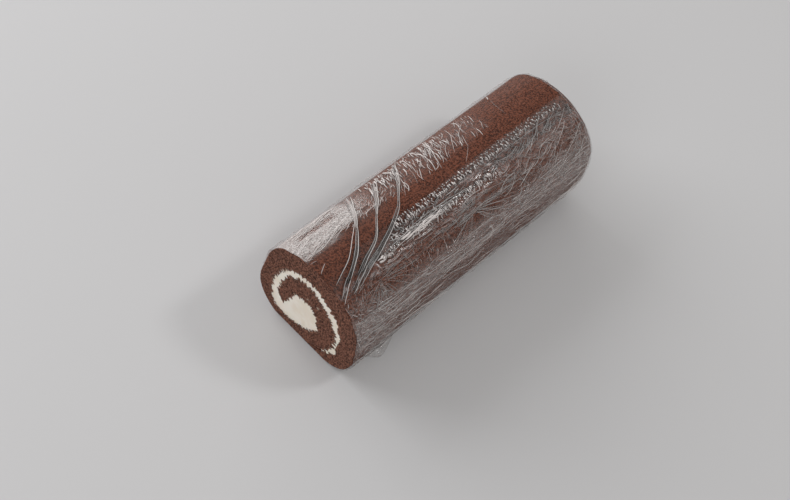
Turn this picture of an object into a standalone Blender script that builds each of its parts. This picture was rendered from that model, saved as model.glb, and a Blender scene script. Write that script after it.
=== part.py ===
"""A chocolate swiss roll filled with cream and wrapped in cling film that is open at its cut end.

Metres, +Z up, standing on z = 0. The roll lies along X. Its cut end looks towards -X, and the film is
closed over its other end at +X. Seen from the cut end, +Y is to the left. The origin is under the middle
of the roll, on the flat that it rests on.
"""
import math

import bmesh
import bpy
from mathutils import Vector

# Driving dimensions of the roll, before slumping
ROLL_LENGTH = 0.208
ROLL_RADIUS = 0.040
CENTRE_HEIGHT = 0.0344
RIM_ROUNDING = 0.0035

# How the soft roll slumps: waves round its outline as (waves a turn, share of the radius, degrees of a crest).
# Three waves lift the crown and spread the foot, and four square the corners.
SLUMP_WAVES = ((2, 0.008, 124.0), (3, 0.035, 86.0), (4, 0.037, 47.0), (6, 0.009, 36.0))

# The sponge strip is rolled clockwise round this point. Clock degrees count from straight up.
CORE_LEFT = 0.0035
CORE_HEIGHT = 0.024
INNER_TIP_CLOCK = -120.0
CREAM_TAIL_CLOCK = 492.0
SEAM_END_CLOCK = 540.0

# Distance from the core in millimetres of each face of the strip, at every STATION degrees from its inner tip.
# The cream face runs on round the outer turn. The skin face ends on the seam under the tucked end.
STATION = 30.0
CREAM_FACE = (16.8, 12.5, 11.6, 13.1, 14.1, 13.5, 12.5, 13.2, 13.0, 13.3, 15.0,
              20.9, 27.0, 25.8, 27.2, 32.0, 35.7, 34.7, 32.8, 30.6, 28.6, 24.9, 24.9)
SKIN_FACE = (16.8, 20.1, 21.2, 26.8, 30.7, 28.6, 28.0, 26.9, 26.0, 24.6, 24.6)
MILLIMETRE = 0.001

# Cling film, drawn thicker than life so that it makes a solid
FILM_WALL = 0.0005
FILM_OVERLAP_WALL = 0.001
CLEARANCE = 0.0003
OVERLAP_START_DEGREES = 99.0
OVERLAP_END_DEGREES = 246.0

# On the side of the overlap the film stands a little off the sponge's under-curve, like a hem.
HEM_DEGREES = 232.0
HEM_HALF_WIDTH_DEGREES = 30.0
HEM_SHIFT = 0.0022

# A loose flap of the film lies on the surface by the cut end.
FLAP_START = -0.0850
FLAP_LENGTH = 0.0290
FLAP_ROOT = -0.0295
FLAP_REACH = 0.0100
FLAP_LEAST_REACH = 0.0040
FLAP_TIP_SHARE = 0.30
FLAP_ROOT_HEIGHT = 0.0026
FLAP_TIP_HEIGHT = 0.0002
FLAP_THICKNESS = 0.0006
FLAP_SEGMENTS = 10
FLAP_ROWS = 3

# Fineness of the facets
OUTLINE_STEPS = 90
SPIRAL_STEP = 5.0
RIM_SEGMENTS = 3
CUTTER_OVERRUN = 0.01

CAKE_BOTTOM = FILM_WALL + CLEARANCE
CUT_END = -ROLL_LENGTH / 2
FAR_END = ROLL_LENGTH / 2


def clear_scene():
    """Remove what the scene holds, so that the roll stands alone."""
    for item in list(bpy.data.objects):
        bpy.data.objects.remove(item, do_unlink=True)


def new_collection(name):
    """Return a new collection linked to the scene."""
    collection = bpy.data.collections.new(name)
    bpy.context.scene.collection.children.link(collection)
    return collection


def new_material(name, color, roughness, alpha=1.0):
    """Return a Principled material with the part's colour, roughness and opacity."""
    material = bpy.data.materials.new(name)
    material.use_nodes = True
    shader = material.node_tree.nodes["Principled BSDF"]
    shader.inputs["Base Color"].default_value = (*color, 1.0)
    shader.inputs["Roughness"].default_value = roughness
    shader.inputs["Metallic"].default_value = 0.0
    shader.inputs["Alpha"].default_value = alpha
    return material


def slumped_radius(degrees):
    """Distance from the roll's middle to its skin. Degrees count from +Y towards +Z."""
    waves = sum(share * math.cos(math.radians(count * (degrees - crest))) for count, share, crest in SLUMP_WAVES)
    return ROLL_RADIUS * (1.0 + waves)


def bump(degrees, middle, half_width):
    """Smooth hump from 0 to 1 and back, centred on the given degrees."""
    distance = abs(degrees - middle) / half_width
    return math.cos(distance * math.pi / 2) ** 2 if distance < 1.0 else 0.0


def film_thickness(degrees):
    """Thickness of the film's wall, which is doubled where its ends overlap."""
    return FILM_OVERLAP_WALL if OVERLAP_START_DEGREES <= degrees <= OVERLAP_END_DEGREES else FILM_WALL


def outline(offset, lowest, hem_shift=0.0):
    """Outline of the roll as (y, z) points, grown outwards by offset(degrees) and flat at its lowest height."""
    angles = [360.0 * step / OUTLINE_STEPS for step in range(OUTLINE_STEPS)]
    skin = []
    for degrees in angles:
        radius = slumped_radius(degrees)
        turn = math.radians(degrees)
        height = CENTRE_HEIGHT + radius * math.sin(turn)
        skin.append(Vector((radius * math.cos(turn), max(height, 0.0) + CAKE_BOTTOM)))
    points = []
    for index, degrees in enumerate(angles):
        along = skin[(index + 1) % OUTLINE_STEPS] - skin[index - 1]
        outwards = Vector((along.y, -along.x)).normalized()
        point = skin[index] + outwards * offset(degrees)
        across = point.x - hem_shift * bump(degrees, HEM_DEGREES, HEM_HALF_WIDTH_DEGREES)
        points.append((across, max(point.y, lowest)))
    heights = [up for _, up in points]
    return [point for index, point in enumerate(points)
            if max(heights[index - 1], point[1], heights[(index + 1) % OUTLINE_STEPS]) > lowest]


def station_value(values, clock):
    """Smooth curve through the values that stand at every STATION degrees from the strip's inner tip."""
    place = max((clock - INNER_TIP_CLOCK) / STATION, 0.0)
    index = min(int(place), len(values) - 2)
    share = place - index
    before, start, end, after = (values[min(max(index + shift, 0), len(values) - 1)] for shift in (-1, 0, 1, 2))
    rise = (end - before) / 2
    fall = (after - start) / 2
    bend = 3 * (end - start) - 2 * rise - fall
    twist = 2 * (start - end) + rise + fall
    return (start + rise * share + bend * share ** 2 + twist * share ** 3) * MILLIMETRE


def clock_point(radius, clock):
    """Point (y, z) at a radius from the core and at clock degrees, as seen from the cut end."""
    turn = math.radians(clock)
    return CORE_LEFT - radius * math.sin(turn), CORE_HEIGHT + CAKE_BOTTOM + radius * math.cos(turn)


def filling_outline(first_clock, last_clock, gap):
    """Closed spiral between the strip's two faces, held back from both by a gap."""
    steps = round((last_clock - first_clock) / SPIRAL_STEP)
    clocks = [first_clock + (last_clock - first_clock) * step / steps for step in range(steps + 1)]
    outer = [clock_point(station_value(CREAM_FACE, clock) - gap, clock) for clock in clocks]
    last_skin_clock = last_clock - 360.0
    steps = round((last_skin_clock - first_clock) / SPIRAL_STEP)
    clocks = [last_skin_clock + (first_clock - last_skin_clock) * step / steps for step in range(steps + 1)]
    inner = [clock_point(station_value(SKIN_FACE, clock) + gap, clock) for clock in clocks]
    if gap == 0.0:
        inner.pop()
    return outer + inner


def bar(name, points, start, end, collection, rim=0.0):
    """Solid bar along X with a (y, z) outline, its rim at the far end rounded where a radius is given."""
    curve = bpy.data.curves.new(name + "_outline", "CURVE")
    curve.dimensions = "2D"
    curve.fill_mode = "BOTH"
    curve.extrude = (end - start) / 2
    spline = curve.splines.new("POLY")
    spline.points.add(len(points) - 1)
    for spline_point, (across, up) in zip(spline.points, points):
        spline_point.co = (across, up, 0.0, 1.0)
    spline.use_cyclic_u = True
    flat = bpy.data.objects.new(name + "_outline", curve)
    flat.location.x = (start + end) / 2
    flat.rotation_euler = (math.pi / 2, 0.0, math.pi / 2)
    bpy.context.scene.collection.objects.link(flat)
    bpy.context.view_layer.update()
    mesh = bpy.data.meshes.new_from_object(flat.evaluated_get(bpy.context.evaluated_depsgraph_get()))
    mesh.transform(flat.matrix_world)
    bpy.data.objects.remove(flat)
    return finished(name, mesh, collection, end if rim else None, rim)


def finished(name, mesh, collection, rim_end=None, rim=0.0):
    """Weld a mesh, round the rim of its end at rim_end, and give it an object in the collection."""
    cage = bmesh.new()
    cage.from_mesh(mesh)
    bmesh.ops.remove_doubles(cage, verts=cage.verts, dist=1e-6)
    if rim_end is not None:
        at_end = {vert for vert in cage.verts if abs(vert.co.x - rim_end) < 1e-6}
        edges = [edge for edge in cage.edges if set(edge.verts) <= at_end
                 and any(set(face.verts) - at_end for face in edge.link_faces)]
        bmesh.ops.bevel(cage, geom=edges, offset=rim, offset_type="OFFSET", segments=RIM_SEGMENTS,
                        profile=0.5, affect="EDGES", clamp_overlap=True, material=-1)
    bmesh.ops.recalc_face_normals(cage, faces=cage.faces)
    mesh.clear_geometry()
    cage.to_mesh(mesh)
    cage.free()
    mesh.shade_smooth()
    mesh.set_sharp_from_angle(angle=math.radians(35))
    item = bpy.data.objects.new(name, mesh)
    collection.objects.link(item)
    return item


def boolean(item, other, operation):
    """Cut or join another solid, which stays in the cutters collection."""
    modifier = item.modifiers.new(operation.title(), "BOOLEAN")
    modifier.operation = operation
    modifier.object = other
    other.hide_render = True
    other.display_type = "WIRE"


def make_sponge(parts, cutters):
    """One strip of chocolate sponge, rolled up with its outer end tucked under."""
    sponge = bar("sponge", outline(lambda degrees: 0.0, CAKE_BOTTOM), CUT_END, FAR_END, parts, RIM_ROUNDING)
    points = filling_outline(INNER_TIP_CLOCK, SEAM_END_CLOCK, 0.0)
    filling = bar("filling_cutter", points, CUT_END - CUTTER_OVERRUN, FAR_END + CUTTER_OVERRUN, cutters)
    boolean(sponge, filling, "DIFFERENCE")
    return sponge


def make_cream(parts):
    """Cream filling: a thick core and the layer that follows the sponge round."""
    gap_degrees = math.degrees(2 * CLEARANCE / (CREAM_FACE[0] * MILLIMETRE))
    points = filling_outline(INNER_TIP_CLOCK - gap_degrees, CREAM_TAIL_CLOCK, CLEARANCE)
    return bar("cream", points, CUT_END, FAR_END, parts)


def make_flap(cutters):
    """Loose flap of film: a thin sheet that runs out from the hem and down to the surface."""
    cage = bmesh.new()
    bmesh.ops.create_grid(cage, x_segments=FLAP_SEGMENTS, y_segments=FLAP_ROWS, size=0.5)
    for vert in cage.verts:
        along = vert.co.x + 0.5
        outwards = 0.5 - vert.co.y
        climb = along / FLAP_TIP_SHARE if along < FLAP_TIP_SHARE else (1.0 - along) / (1.0 - FLAP_TIP_SHARE)
        reach = FLAP_LEAST_REACH + (FLAP_REACH - FLAP_LEAST_REACH) * climb
        height = FLAP_TIP_HEIGHT + (FLAP_ROOT_HEIGHT - FLAP_TIP_HEIGHT) * (1.0 - outwards)
        vert.co = Vector((FLAP_START + FLAP_LENGTH * along, FLAP_ROOT - reach * outwards, height))
    mesh = bpy.data.meshes.new("flap")
    cage.to_mesh(mesh)
    cage.free()
    flap = bpy.data.objects.new("flap", mesh)
    cutters.objects.link(flap)
    thickness = flap.modifiers.new("Thickness", "SOLIDIFY")
    thickness.thickness = FLAP_THICKNESS
    thickness.offset = 1.0
    return flap


def make_film(parts, cutters):
    """Cling film: a thin sleeve, doubled on one side, closed over the far end, with its loose flap."""
    outer = outline(lambda degrees: CLEARANCE + film_thickness(degrees), 0.0, HEM_SHIFT)
    inner = outline(lambda degrees: CLEARANCE, FILM_WALL, HEM_SHIFT)
    film = bar("film", outer, CUT_END, FAR_END + CLEARANCE + FILM_WALL, parts, RIM_ROUNDING + FILM_WALL)
    space = bar("film_cutter", inner, CUT_END - CUTTER_OVERRUN, FAR_END + CLEARANCE, cutters, RIM_ROUNDING)
    boolean(film, make_flap(cutters), "UNION")
    boolean(film, space, "DIFFERENCE")
    return film


def main():
    """Build the roll's three pieces and give each its material."""
    clear_scene()
    parts = new_collection("swiss_roll_cake")
    cutters = new_collection("cutters")
    finishes = {
        make_sponge(parts, cutters): new_material("chocolate_sponge", (0.085, 0.036, 0.022), 0.85),
        make_cream(parts): new_material("cream", (0.80, 0.74, 0.63), 0.5),
        make_film(parts, cutters): new_material("cling_film", (0.85, 0.85, 0.87), 0.12, 0.35),
    }
    for item, material in finishes.items():
        item.data.materials.append(material)


main()
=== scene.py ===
"""Looks of a chocolate swiss roll wrapped in cling film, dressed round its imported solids.

Metres, +Z up. The roll lies along X with its cut end at -X. Two ways of counting degrees are used: clock
degrees turn round the core of the spiral from straight up, clockwise as seen from the cut end, and turn
degrees go round the whole roll from its left side (+Y) over the top to its right side (-Y).
"""
import logging
import math
from collections import defaultdict
from dataclasses import dataclass, field
from enum import Enum
from typing import Iterator, Sequence

import bmesh
import bpy
import numpy as np
from mathutils import Matrix, Vector, noise


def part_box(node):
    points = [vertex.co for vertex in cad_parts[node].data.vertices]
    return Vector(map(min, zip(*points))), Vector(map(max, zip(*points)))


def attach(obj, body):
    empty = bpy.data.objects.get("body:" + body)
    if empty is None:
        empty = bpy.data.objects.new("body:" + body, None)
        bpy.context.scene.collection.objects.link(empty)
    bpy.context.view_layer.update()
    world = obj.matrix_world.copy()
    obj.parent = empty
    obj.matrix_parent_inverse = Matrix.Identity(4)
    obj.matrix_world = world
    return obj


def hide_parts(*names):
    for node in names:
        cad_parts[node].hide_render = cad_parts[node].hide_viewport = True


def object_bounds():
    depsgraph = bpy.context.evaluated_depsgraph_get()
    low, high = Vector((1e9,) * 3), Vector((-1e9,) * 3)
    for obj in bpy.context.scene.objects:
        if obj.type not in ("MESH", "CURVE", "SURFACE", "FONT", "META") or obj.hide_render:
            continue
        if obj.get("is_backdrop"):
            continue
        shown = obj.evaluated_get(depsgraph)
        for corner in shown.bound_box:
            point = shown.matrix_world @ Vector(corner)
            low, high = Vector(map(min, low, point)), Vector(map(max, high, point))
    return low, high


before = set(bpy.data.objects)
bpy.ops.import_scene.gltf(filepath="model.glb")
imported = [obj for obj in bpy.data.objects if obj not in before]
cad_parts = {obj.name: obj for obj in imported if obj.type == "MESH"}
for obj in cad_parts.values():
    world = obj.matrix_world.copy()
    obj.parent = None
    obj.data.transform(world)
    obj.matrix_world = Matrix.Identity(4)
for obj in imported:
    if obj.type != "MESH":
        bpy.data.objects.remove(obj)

LOG = logging.getLogger("swiss_roll")
MM = 0.001
WELD = 1e-6

# Centre that the sponge strip is rolled round, and the middle height of the whole section
CORE_LEFT = 3.5 * MM
CORE_HEIGHT = 24.8 * MM
MIDDLE_HEIGHT = 35.2 * MM

Color = tuple[float, float, float]


class End(Enum):
    """The two ends of the roll, as the direction each one faces along X."""

    CUT = -1
    FAR = 1


def smooth_step(low: float, high: float, value: np.ndarray | float) -> np.ndarray | float:
    """Rise smoothly from 0 to 1 between two values.

    Args:
        low: Where the rise starts.
        high: Where it ends.
        value: A number or an array.

    Returns:
        The share reached, of the same kind as value.
    """
    share = np.clip((value - low) / (high - low), 0.0, 1.0)
    return share * share * (3.0 - 2.0 * share)


def hump(value: np.ndarray | float, middle: float, half_width: float) -> np.ndarray | float:
    """Rise to 1 at the middle and fall back to 0 at half_width on both sides."""
    return 1.0 - smooth_step(0.0, half_width, np.abs(value - middle))


def wave_field(along: np.ndarray, across: np.ndarray, length: float, seed: int, stretch: float = 1.0) -> np.ndarray:
    """Smooth random field made of plane waves in every direction.

    Args:
        along: First coordinate of each point.
        across: Second coordinate of each point.
        length: Typical distance between crests.
        seed: Seed of the random draw.
        stretch: How many times longer the waves are along the first coordinate.

    Returns:
        Values of about -1 to 1, one for each point.
    """
    rng = np.random.default_rng(seed)
    waves = 22
    total = np.zeros(np.broadcast(along, across).shape)
    for _ in range(waves):
        heading = rng.uniform(0.0, 2.0 * math.pi)
        rate = 2.0 * math.pi / (length * rng.uniform(0.7, 1.5))
        phase = rng.uniform(0.0, 2.0 * math.pi)
        total += np.cos(rate * (math.cos(heading) * along / stretch + math.sin(heading) * across) + phase)
    return total / math.sqrt(2.0 * waves)


def end_loops(node: str, end: float) -> list[np.ndarray]:
    """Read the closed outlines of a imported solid's flat end.

    Args:
        node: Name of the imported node.
        end: X of the end face.

    Returns:
        One array of (y, z) rows for each outline, in order round it.
    """
    cage = bmesh.new()
    cage.from_mesh(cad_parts[node].data)
    bmesh.ops.remove_doubles(cage, verts=cage.verts, dist=WELD)
    at_end = {vert for vert in cage.verts if abs(vert.co.x - end) < 10 * WELD}
    neighbours = defaultdict(list)
    for edge in cage.edges:
        if set(edge.verts) <= at_end and any(set(face.verts) - at_end for face in edge.link_faces):
            first, second = edge.verts
            neighbours[first].append(second)
            neighbours[second].append(first)
    loops, left = [], set(neighbours)
    while left:
        loop = [next(vert for vert in cage.verts if vert in left)]
        left.discard(loop[0])
        while following := [vert for vert in neighbours[loop[-1]] if vert in left]:
            loop.append(following[0])
            left.discard(following[0])
        loops.append(np.array([(vert.co.y, vert.co.z) for vert in loop]))
    cage.free()
    return loops


def densified(points: np.ndarray, spacing: float, closed: bool = True) -> np.ndarray:
    """Add points along the straight runs of an outline so that none is longer than the spacing."""
    ends = np.roll(points, -1, axis=0) if closed else points[1:]
    starts = points if closed else points[:-1]
    rows = []
    for start, stop in zip(starts, ends):
        pieces = max(1, math.ceil(np.linalg.norm(stop - start) / spacing))
        rows.extend(start + (stop - start) * step / pieces for step in range(pieces))
    if not closed:
        rows.append(points[-1])
    return np.array(rows)


def softened(values: np.ndarray, reach: int, periodic: bool) -> np.ndarray:
    """Average values with their neighbours under a bell curve, so that facets disappear."""
    steps = np.arange(-reach, reach + 1)
    kernel = np.exp(-(steps / (0.45 * reach)) ** 2)
    padded = np.pad(values, reach, mode="wrap" if periodic else "edge")
    return np.convolve(padded, kernel / kernel.sum(), "valid")


@dataclass
class Profile:
    """Distance from a centre to an outline, for each whole degree of the turn."""

    radii: np.ndarray

    @classmethod
    def of_loop(cls, loop: np.ndarray) -> "Profile":
        """Measure an outline round the middle of the roll, by its outermost point where it passes several times.

        Args:
            loop: Rows of (y, z) round the outline.

        Returns:
            The outline's profile, with its facets smoothed away.
        """
        points = densified(loop, 0.2 * MM)
        left, up = points[:, 0], points[:, 1] - MIDDLE_HEIGHT
        turns, distances = np.degrees(np.arctan2(up, left)), np.hypot(left, up)
        apart = np.abs((turns - np.arange(360.0)[:, None] + 180.0) % 360.0 - 180.0)
        radii = np.where(apart < 0.5, distances, 0.0).max(axis=1)
        return cls(softened(radii, 5, periodic=True))

    def radius(self, turn: np.ndarray) -> np.ndarray:
        """Radius at any turn degrees."""
        return np.interp(np.asarray(turn) % 360.0, np.arange(361.0), np.append(self.radii, self.radii[0]))


@dataclass
class RollSection:
    """The roll's section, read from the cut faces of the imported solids."""

    cut_end: float
    far_end: float
    clocks: np.ndarray
    cream_side: np.ndarray
    skin_side: np.ndarray
    cake: Profile
    film: Profile

    @classmethod
    def from_frame(cls) -> "RollSection":
        """Read the sponge's strip and the film's inner outline from the frame.

        Returns:
            The section that every piece is built on.
        """
        low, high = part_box("sponge")
        strip = end_loops("sponge", low[0])[0]
        corners = np.argsort(cls._turning(strip))[-2:]
        distances = [math.hypot(strip[i][0] - CORE_LEFT, strip[i][1] - CORE_HEIGHT) for i in corners]
        tip, wedge = (int(corners[i]) for i in np.argsort(distances))
        count = len(strip)
        forwards = strip[[(tip + step) % count for step in range((wedge - tip) % count + 1)]]
        backwards = strip[[(tip - step) % count for step in range((tip - wedge) % count + 1)]]
        cream, skin = sorted((cls._unrolled(side) for side in (forwards, backwards)), key=lambda side: side[1].sum())
        clocks = np.arange(cream[0][0], min(cream[0][-1], skin[0][-1]), 0.5)
        film = min(end_loops("film", low[0]), key=lambda loop: np.ptp(loop[:, 0]))
        return cls(
            cut_end=low[0],
            far_end=high[0],
            clocks=clocks,
            cream_side=softened(np.interp(clocks, *cream), 5, periodic=False),
            skin_side=softened(np.interp(clocks, *skin), 5, periodic=False),
            cake=Profile.of_loop(backwards if len(backwards) > len(forwards) else forwards),
            film=Profile.of_loop(film),
        )

    @staticmethod
    def _turning(loop: np.ndarray) -> np.ndarray:
        """Angle by which a loop turns at each of its points."""
        before = loop - np.roll(loop, 1, axis=0)
        after = np.roll(loop, -1, axis=0) - loop
        cross = before[:, 0] * after[:, 1] - before[:, 1] * after[:, 0]
        return np.abs(np.arctan2(cross, (before * after).sum(axis=1)))

    @staticmethod
    def _unrolled(side: np.ndarray) -> tuple[np.ndarray, np.ndarray]:
        """Clock degrees and distances from the core along one face of the strip."""
        points = densified(side, 0.5 * MM, closed=False)
        left, up = points[:, 0] - CORE_LEFT, points[:, 1] - CORE_HEIGHT
        clocks = np.degrees(np.unwrap(np.arctan2(-left, up)))
        return np.maximum.accumulate(clocks), np.hypot(left, up)

    @property
    def length(self) -> float:
        """Length of the cake along X."""
        return self.far_end - self.cut_end

    def strip_faces(self, clock: np.ndarray | float) -> tuple[np.ndarray, np.ndarray]:
        """Distances from the core of the strip's cream side and skin side."""
        return np.interp(clock, self.clocks, self.cream_side), np.interp(clock, self.clocks, self.skin_side)


def core_point(radius: float, clock: float) -> tuple[float, float]:
    """Point (y, z) at a distance from the core and at clock degrees."""
    turn = math.radians(clock)
    return CORE_LEFT - radius * math.sin(turn), CORE_HEIGHT + radius * math.cos(turn)


def finished_piece(name: str, cage: bmesh.types.BMesh, materials: Sequence[bpy.types.Material],
                   sharp_degrees: float = 70.0) -> bpy.types.Object:
    """Make an object of a finished cage, smooth but for its sharp edges.

    Args:
        name: Name of the piece.
        cage: The cage, which is freed.
        materials: Its materials, in the order of the faces' material numbers.
        sharp_degrees: Edges that turn more than this stay sharp.

    Returns:
        The object, at the origin.
    """
    mesh = bpy.data.meshes.new(name)
    cage.to_mesh(mesh)
    cage.free()
    mesh.shade_smooth()
    mesh.set_sharp_from_angle(angle=math.radians(sharp_degrees))
    for material in materials:
        mesh.materials.append(material)
    piece = bpy.data.objects.new(name, mesh)
    bpy.context.scene.collection.objects.link(piece)
    return piece


class Graph:
    """A material's node tree, built up call by call."""

    def __init__(self, name: str) -> None:
        """Start an empty tree in a new material."""
        self.material = bpy.data.materials.new(name)
        self.material.use_nodes = True
        self.tree = self.material.node_tree
        self.tree.nodes.clear()

    def add(self, kind: str, settings: dict | None = None, **inputs: object) -> bpy.types.Node:
        """Add a node.

        Args:
            kind: Blender's name of the node type.
            settings: Properties to set on the node.
            **inputs: Input sockets by name with underscores for spaces, as values or as sockets to link.

        Returns:
            The new node.
        """
        node = self.tree.nodes.new(kind)
        for name, value in (settings or {}).items():
            setattr(node, name, value)
        for name, value in inputs.items():
            socket = node.inputs[int(name[1:])] if name[1:].isdigit() else node.inputs[name.replace("_", " ")]
            if isinstance(value, bpy.types.NodeSocket):
                self.tree.links.new(value, socket)
            else:
                socket.default_value = value
        return node

    def math(self, operation: str, first: object, second: object = 0.0, clamp: bool = False) -> bpy.types.NodeSocket:
        """Combine two numbers or sockets."""
        node = self.add("ShaderNodeMath", {"operation": operation, "use_clamp": clamp}, i0=first, i1=second)
        return node.outputs[0]

    def ramp(self, value: bpy.types.NodeSocket, low: float, high: float) -> bpy.types.NodeSocket:
        """Stretch the span from low to high to 0 to 1, smoothly and clamped."""
        node = self.add("ShaderNodeMapRange", {"interpolation_type": "SMOOTHSTEP"}, Value=value, From_Min=low,
                        From_Max=high)
        return node.outputs["Result"]

    def blend(self, share: object, first: object, second: object) -> bpy.types.NodeSocket:
        """Blend two colours by a share."""
        node = self.add("ShaderNodeMix", {"data_type": "RGBA"}, i0=share, i6=first, i7=second)
        return node.outputs[2]

    def noise(self, vector: bpy.types.NodeSocket, scale: float, detail: float = 2.0,
              roughness: float = 0.5) -> bpy.types.NodeSocket:
        """Noise texture's number."""
        node = self.add("ShaderNodeTexNoise", None, Vector=vector, Scale=scale, Detail=detail, Roughness=roughness)
        return node.outputs["Fac"]

    def pores(self, vector: bpy.types.NodeSocket, scale: float) -> bpy.types.NodeSocket:
        """Distance to the nearest of many scattered pores."""
        node = self.add("ShaderNodeTexVoronoi", {"feature": "F1"}, Vector=vector, Scale=scale)
        return node.outputs["Distance"]

    def bump(self, height: bpy.types.NodeSocket, distance: float, strength: float = 1.0,
             normal: bpy.types.NodeSocket | None = None) -> bpy.types.NodeSocket:
        """Normal bent by a height, given in metres by distance."""
        extra = {"Normal": normal} if normal else {}
        return self.add("ShaderNodeBump", None, Height=height, Distance=distance, Strength=strength, **extra).outputs[0]

    def vector(self, operation: str, first: object, second: object) -> bpy.types.NodeSocket:
        """Combine two vectors or sockets."""
        return self.add("ShaderNodeVectorMath", {"operation": operation}, i0=first, i1=second).outputs[0]

    def cracks(self, place: bpy.types.NodeSocket, scale: float, width: float) -> bpy.types.NodeSocket:
        """Thin straight lines that meet at corners, as in a crumpled sheet."""
        cells = self.add("ShaderNodeTexVoronoi", {"feature": "DISTANCE_TO_EDGE"}, Vector=place, Scale=scale)
        return self.ramp(cells.outputs["Distance"], width, 0.0)

    def streaks(self, place: bpy.types.NodeSocket, heading: float, stretch: float, scale: float,
                width: float) -> bpy.types.NodeSocket:
        """Thin long lines that run roughly one way.

        Args:
            place: Coordinates to draw them in.
            heading: Their direction in degrees from the first coordinate.
            stretch: How many times longer they are than the gaps between them.
            scale: Number of lines for each unit.
            width: Share of the gap that a line takes.

        Returns:
            1 on the lines and 0 between them.
        """
        turned = self.add("ShaderNodeMapping", {"vector_type": "TEXTURE"}, Vector=place,
                          Rotation=(0.0, 0.0, math.radians(heading)), Scale=(stretch, 1.0, 1.0)).outputs[0]
        level = self.math("ABSOLUTE", self.math("SUBTRACT", self.noise(turned, scale, 1.0), 0.5))
        return self.ramp(level, width, 0.0)

    def coordinates(self, output: str = "Object") -> bpy.types.NodeSocket:
        """Object or UV coordinates of the piece."""
        return self.add("ShaderNodeTexCoord").outputs[output]

    def attribute(self, name: str) -> bpy.types.NodeSocket:
        """Number stored on the piece's points."""
        return self.add("ShaderNodeAttribute", {"attribute_name": name}).outputs["Fac"]

    def output(self, surface: bpy.types.NodeSocket) -> bpy.types.Material:
        """Send a shader to the output and return the material."""
        self.add("ShaderNodeOutputMaterial", None, Surface=surface)
        return self.material


def rgba(color: Color) -> tuple[float, float, float, float]:
    """Colour with full opacity."""
    return (*color, 1.0)


@dataclass(frozen=True)
class SpongeSkin:
    """Outer face of the chocolate sponge: matt, finely pored and slightly lumpy, with painted shade in its pores and
    painted glints of the clinging film among its pale specks.
    """

    # The pore colour is painted shade in the pits; the light colour is partly the sponge's own tone and partly painted
    # glints of the film that clings over the skin.
    pore_shade: Color = (0.020, 0.007, 0.005)
    dark: Color = (0.056, 0.017, 0.009)
    light: Color = (0.190, 0.064, 0.036)
    roughness: float = 0.78

    def material(self) -> bpy.types.Material:
        """Build the skin's material."""
        graph = Graph("sponge_skin")
        place = graph.coordinates()
        mottling = graph.noise(place, 860.0, 2.0, 0.6)
        pores = graph.pores(place, 900.0)
        # Lighter mottling: the sponge's own tone, and painted glints of the film clinging over it.
        color = graph.blend(graph.ramp(mottling, 0.36, 0.64), rgba(self.dark), rgba(self.light))
        # Painted shade: the pits go near black where shade falls into them.
        shaded_pores = graph.math("MULTIPLY", graph.ramp(pores, 0.36, 0.10), graph.ramp(mottling, 0.60, 0.46))
        color = graph.blend(shaded_pores, color, rgba(self.pore_shade))
        lumps = graph.bump(mottling, 0.9 * MM, 0.8)
        pitted = graph.bump(graph.ramp(pores, 0.05, 0.40), 0.3 * MM, 0.7, lumps)
        shader = graph.add("ShaderNodeBsdfPrincipled", None, Base_Color=color, Roughness=self.roughness,
                           Normal=pitted)
        shader.inputs["Specular IOR Level"].default_value = 0.18
        return graph.output(shader.outputs[0])


@dataclass(frozen=True)
class SpongeCrumb:
    """Cut face of the sponge: open crumb whose pores are darkened with painted shade, and cream rubbed into it beside
    the filling.
    """

    # The pore colour is painted shade in the crumb's holes.
    pore_shade: Color = (0.012, 0.004, 0.003)
    dark: Color = (0.036, 0.012, 0.007)
    light: Color = (0.280, 0.120, 0.078)
    cream: Color = (0.62, 0.52, 0.41)

    def material(self) -> bpy.types.Material:
        """Build the crumb's material."""
        graph = Graph("sponge_crumb")
        place = graph.coordinates()
        mottling = graph.noise(place, 950.0, 2.0, 0.6)
        patches = graph.noise(place, 170.0, 2.0)
        pores = graph.pores(place, 1000.0)
        tone = graph.math("ADD", graph.math("MULTIPLY", mottling, 0.88), graph.math("MULTIPLY", patches, 0.12))
        color = graph.blend(graph.ramp(tone, 0.36, 0.66), rgba(self.dark), rgba(self.light))
        # Painted shade: the holes of the crumb go near black.
        shaded_pores = graph.math("MULTIPLY", graph.ramp(pores, 0.42, 0.12), graph.ramp(mottling, 0.60, 0.44))
        color = graph.blend(shaded_pores, color, rgba(self.pore_shade))
        smear = graph.math("MULTIPLY", graph.attribute("smear"), graph.ramp(graph.noise(place, 1300.0), 0.30, 0.62))
        color = graph.blend(smear, color, rgba(self.cream))
        rough = graph.bump(mottling, 1.0 * MM, 0.9)
        pitted = graph.bump(graph.ramp(pores, 0.05, 0.45), 0.4 * MM, 0.9, rough)
        shader = graph.add("ShaderNodeBsdfPrincipled", None, Base_Color=color, Roughness=0.86, Normal=pitted)
        shader.inputs["Specular IOR Level"].default_value = 0.25
        return graph.output(shader.outputs[0])


@dataclass(frozen=True)
class SetCream:
    """Set cream: warm off-white with a soft sheen and faint marks of the knife."""

    color: Color = (0.88, 0.82, 0.73)
    shade: Color = (0.82, 0.74, 0.63)

    def material(self) -> bpy.types.Material:
        """Build the cream's material."""
        graph = Graph("set_cream")
        place = graph.coordinates()
        stretched = graph.add("ShaderNodeMapping", None, Vector=place, Scale=(1.0, 1.0, 0.16)).outputs[0]
        marks = graph.noise(stretched, 700.0, 3.0, 0.6)
        clouds = graph.noise(place, 120.0, 2.0)
        color = graph.blend(graph.ramp(clouds, 0.35, 0.7), rgba(self.color), rgba(self.shade))
        shader = graph.add("ShaderNodeBsdfPrincipled", None, Base_Color=color, Roughness=0.42,
                           Normal=graph.bump(marks, 0.25 * MM, 0.7))
        shader.inputs["Subsurface Weight"].default_value = 0.25
        shader.inputs["Subsurface Radius"].default_value = (1.0, 0.7, 0.5)
        shader.inputs["Subsurface Scale"].default_value = 1.5 * MM
        return graph.output(shader.outputs[0])


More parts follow.
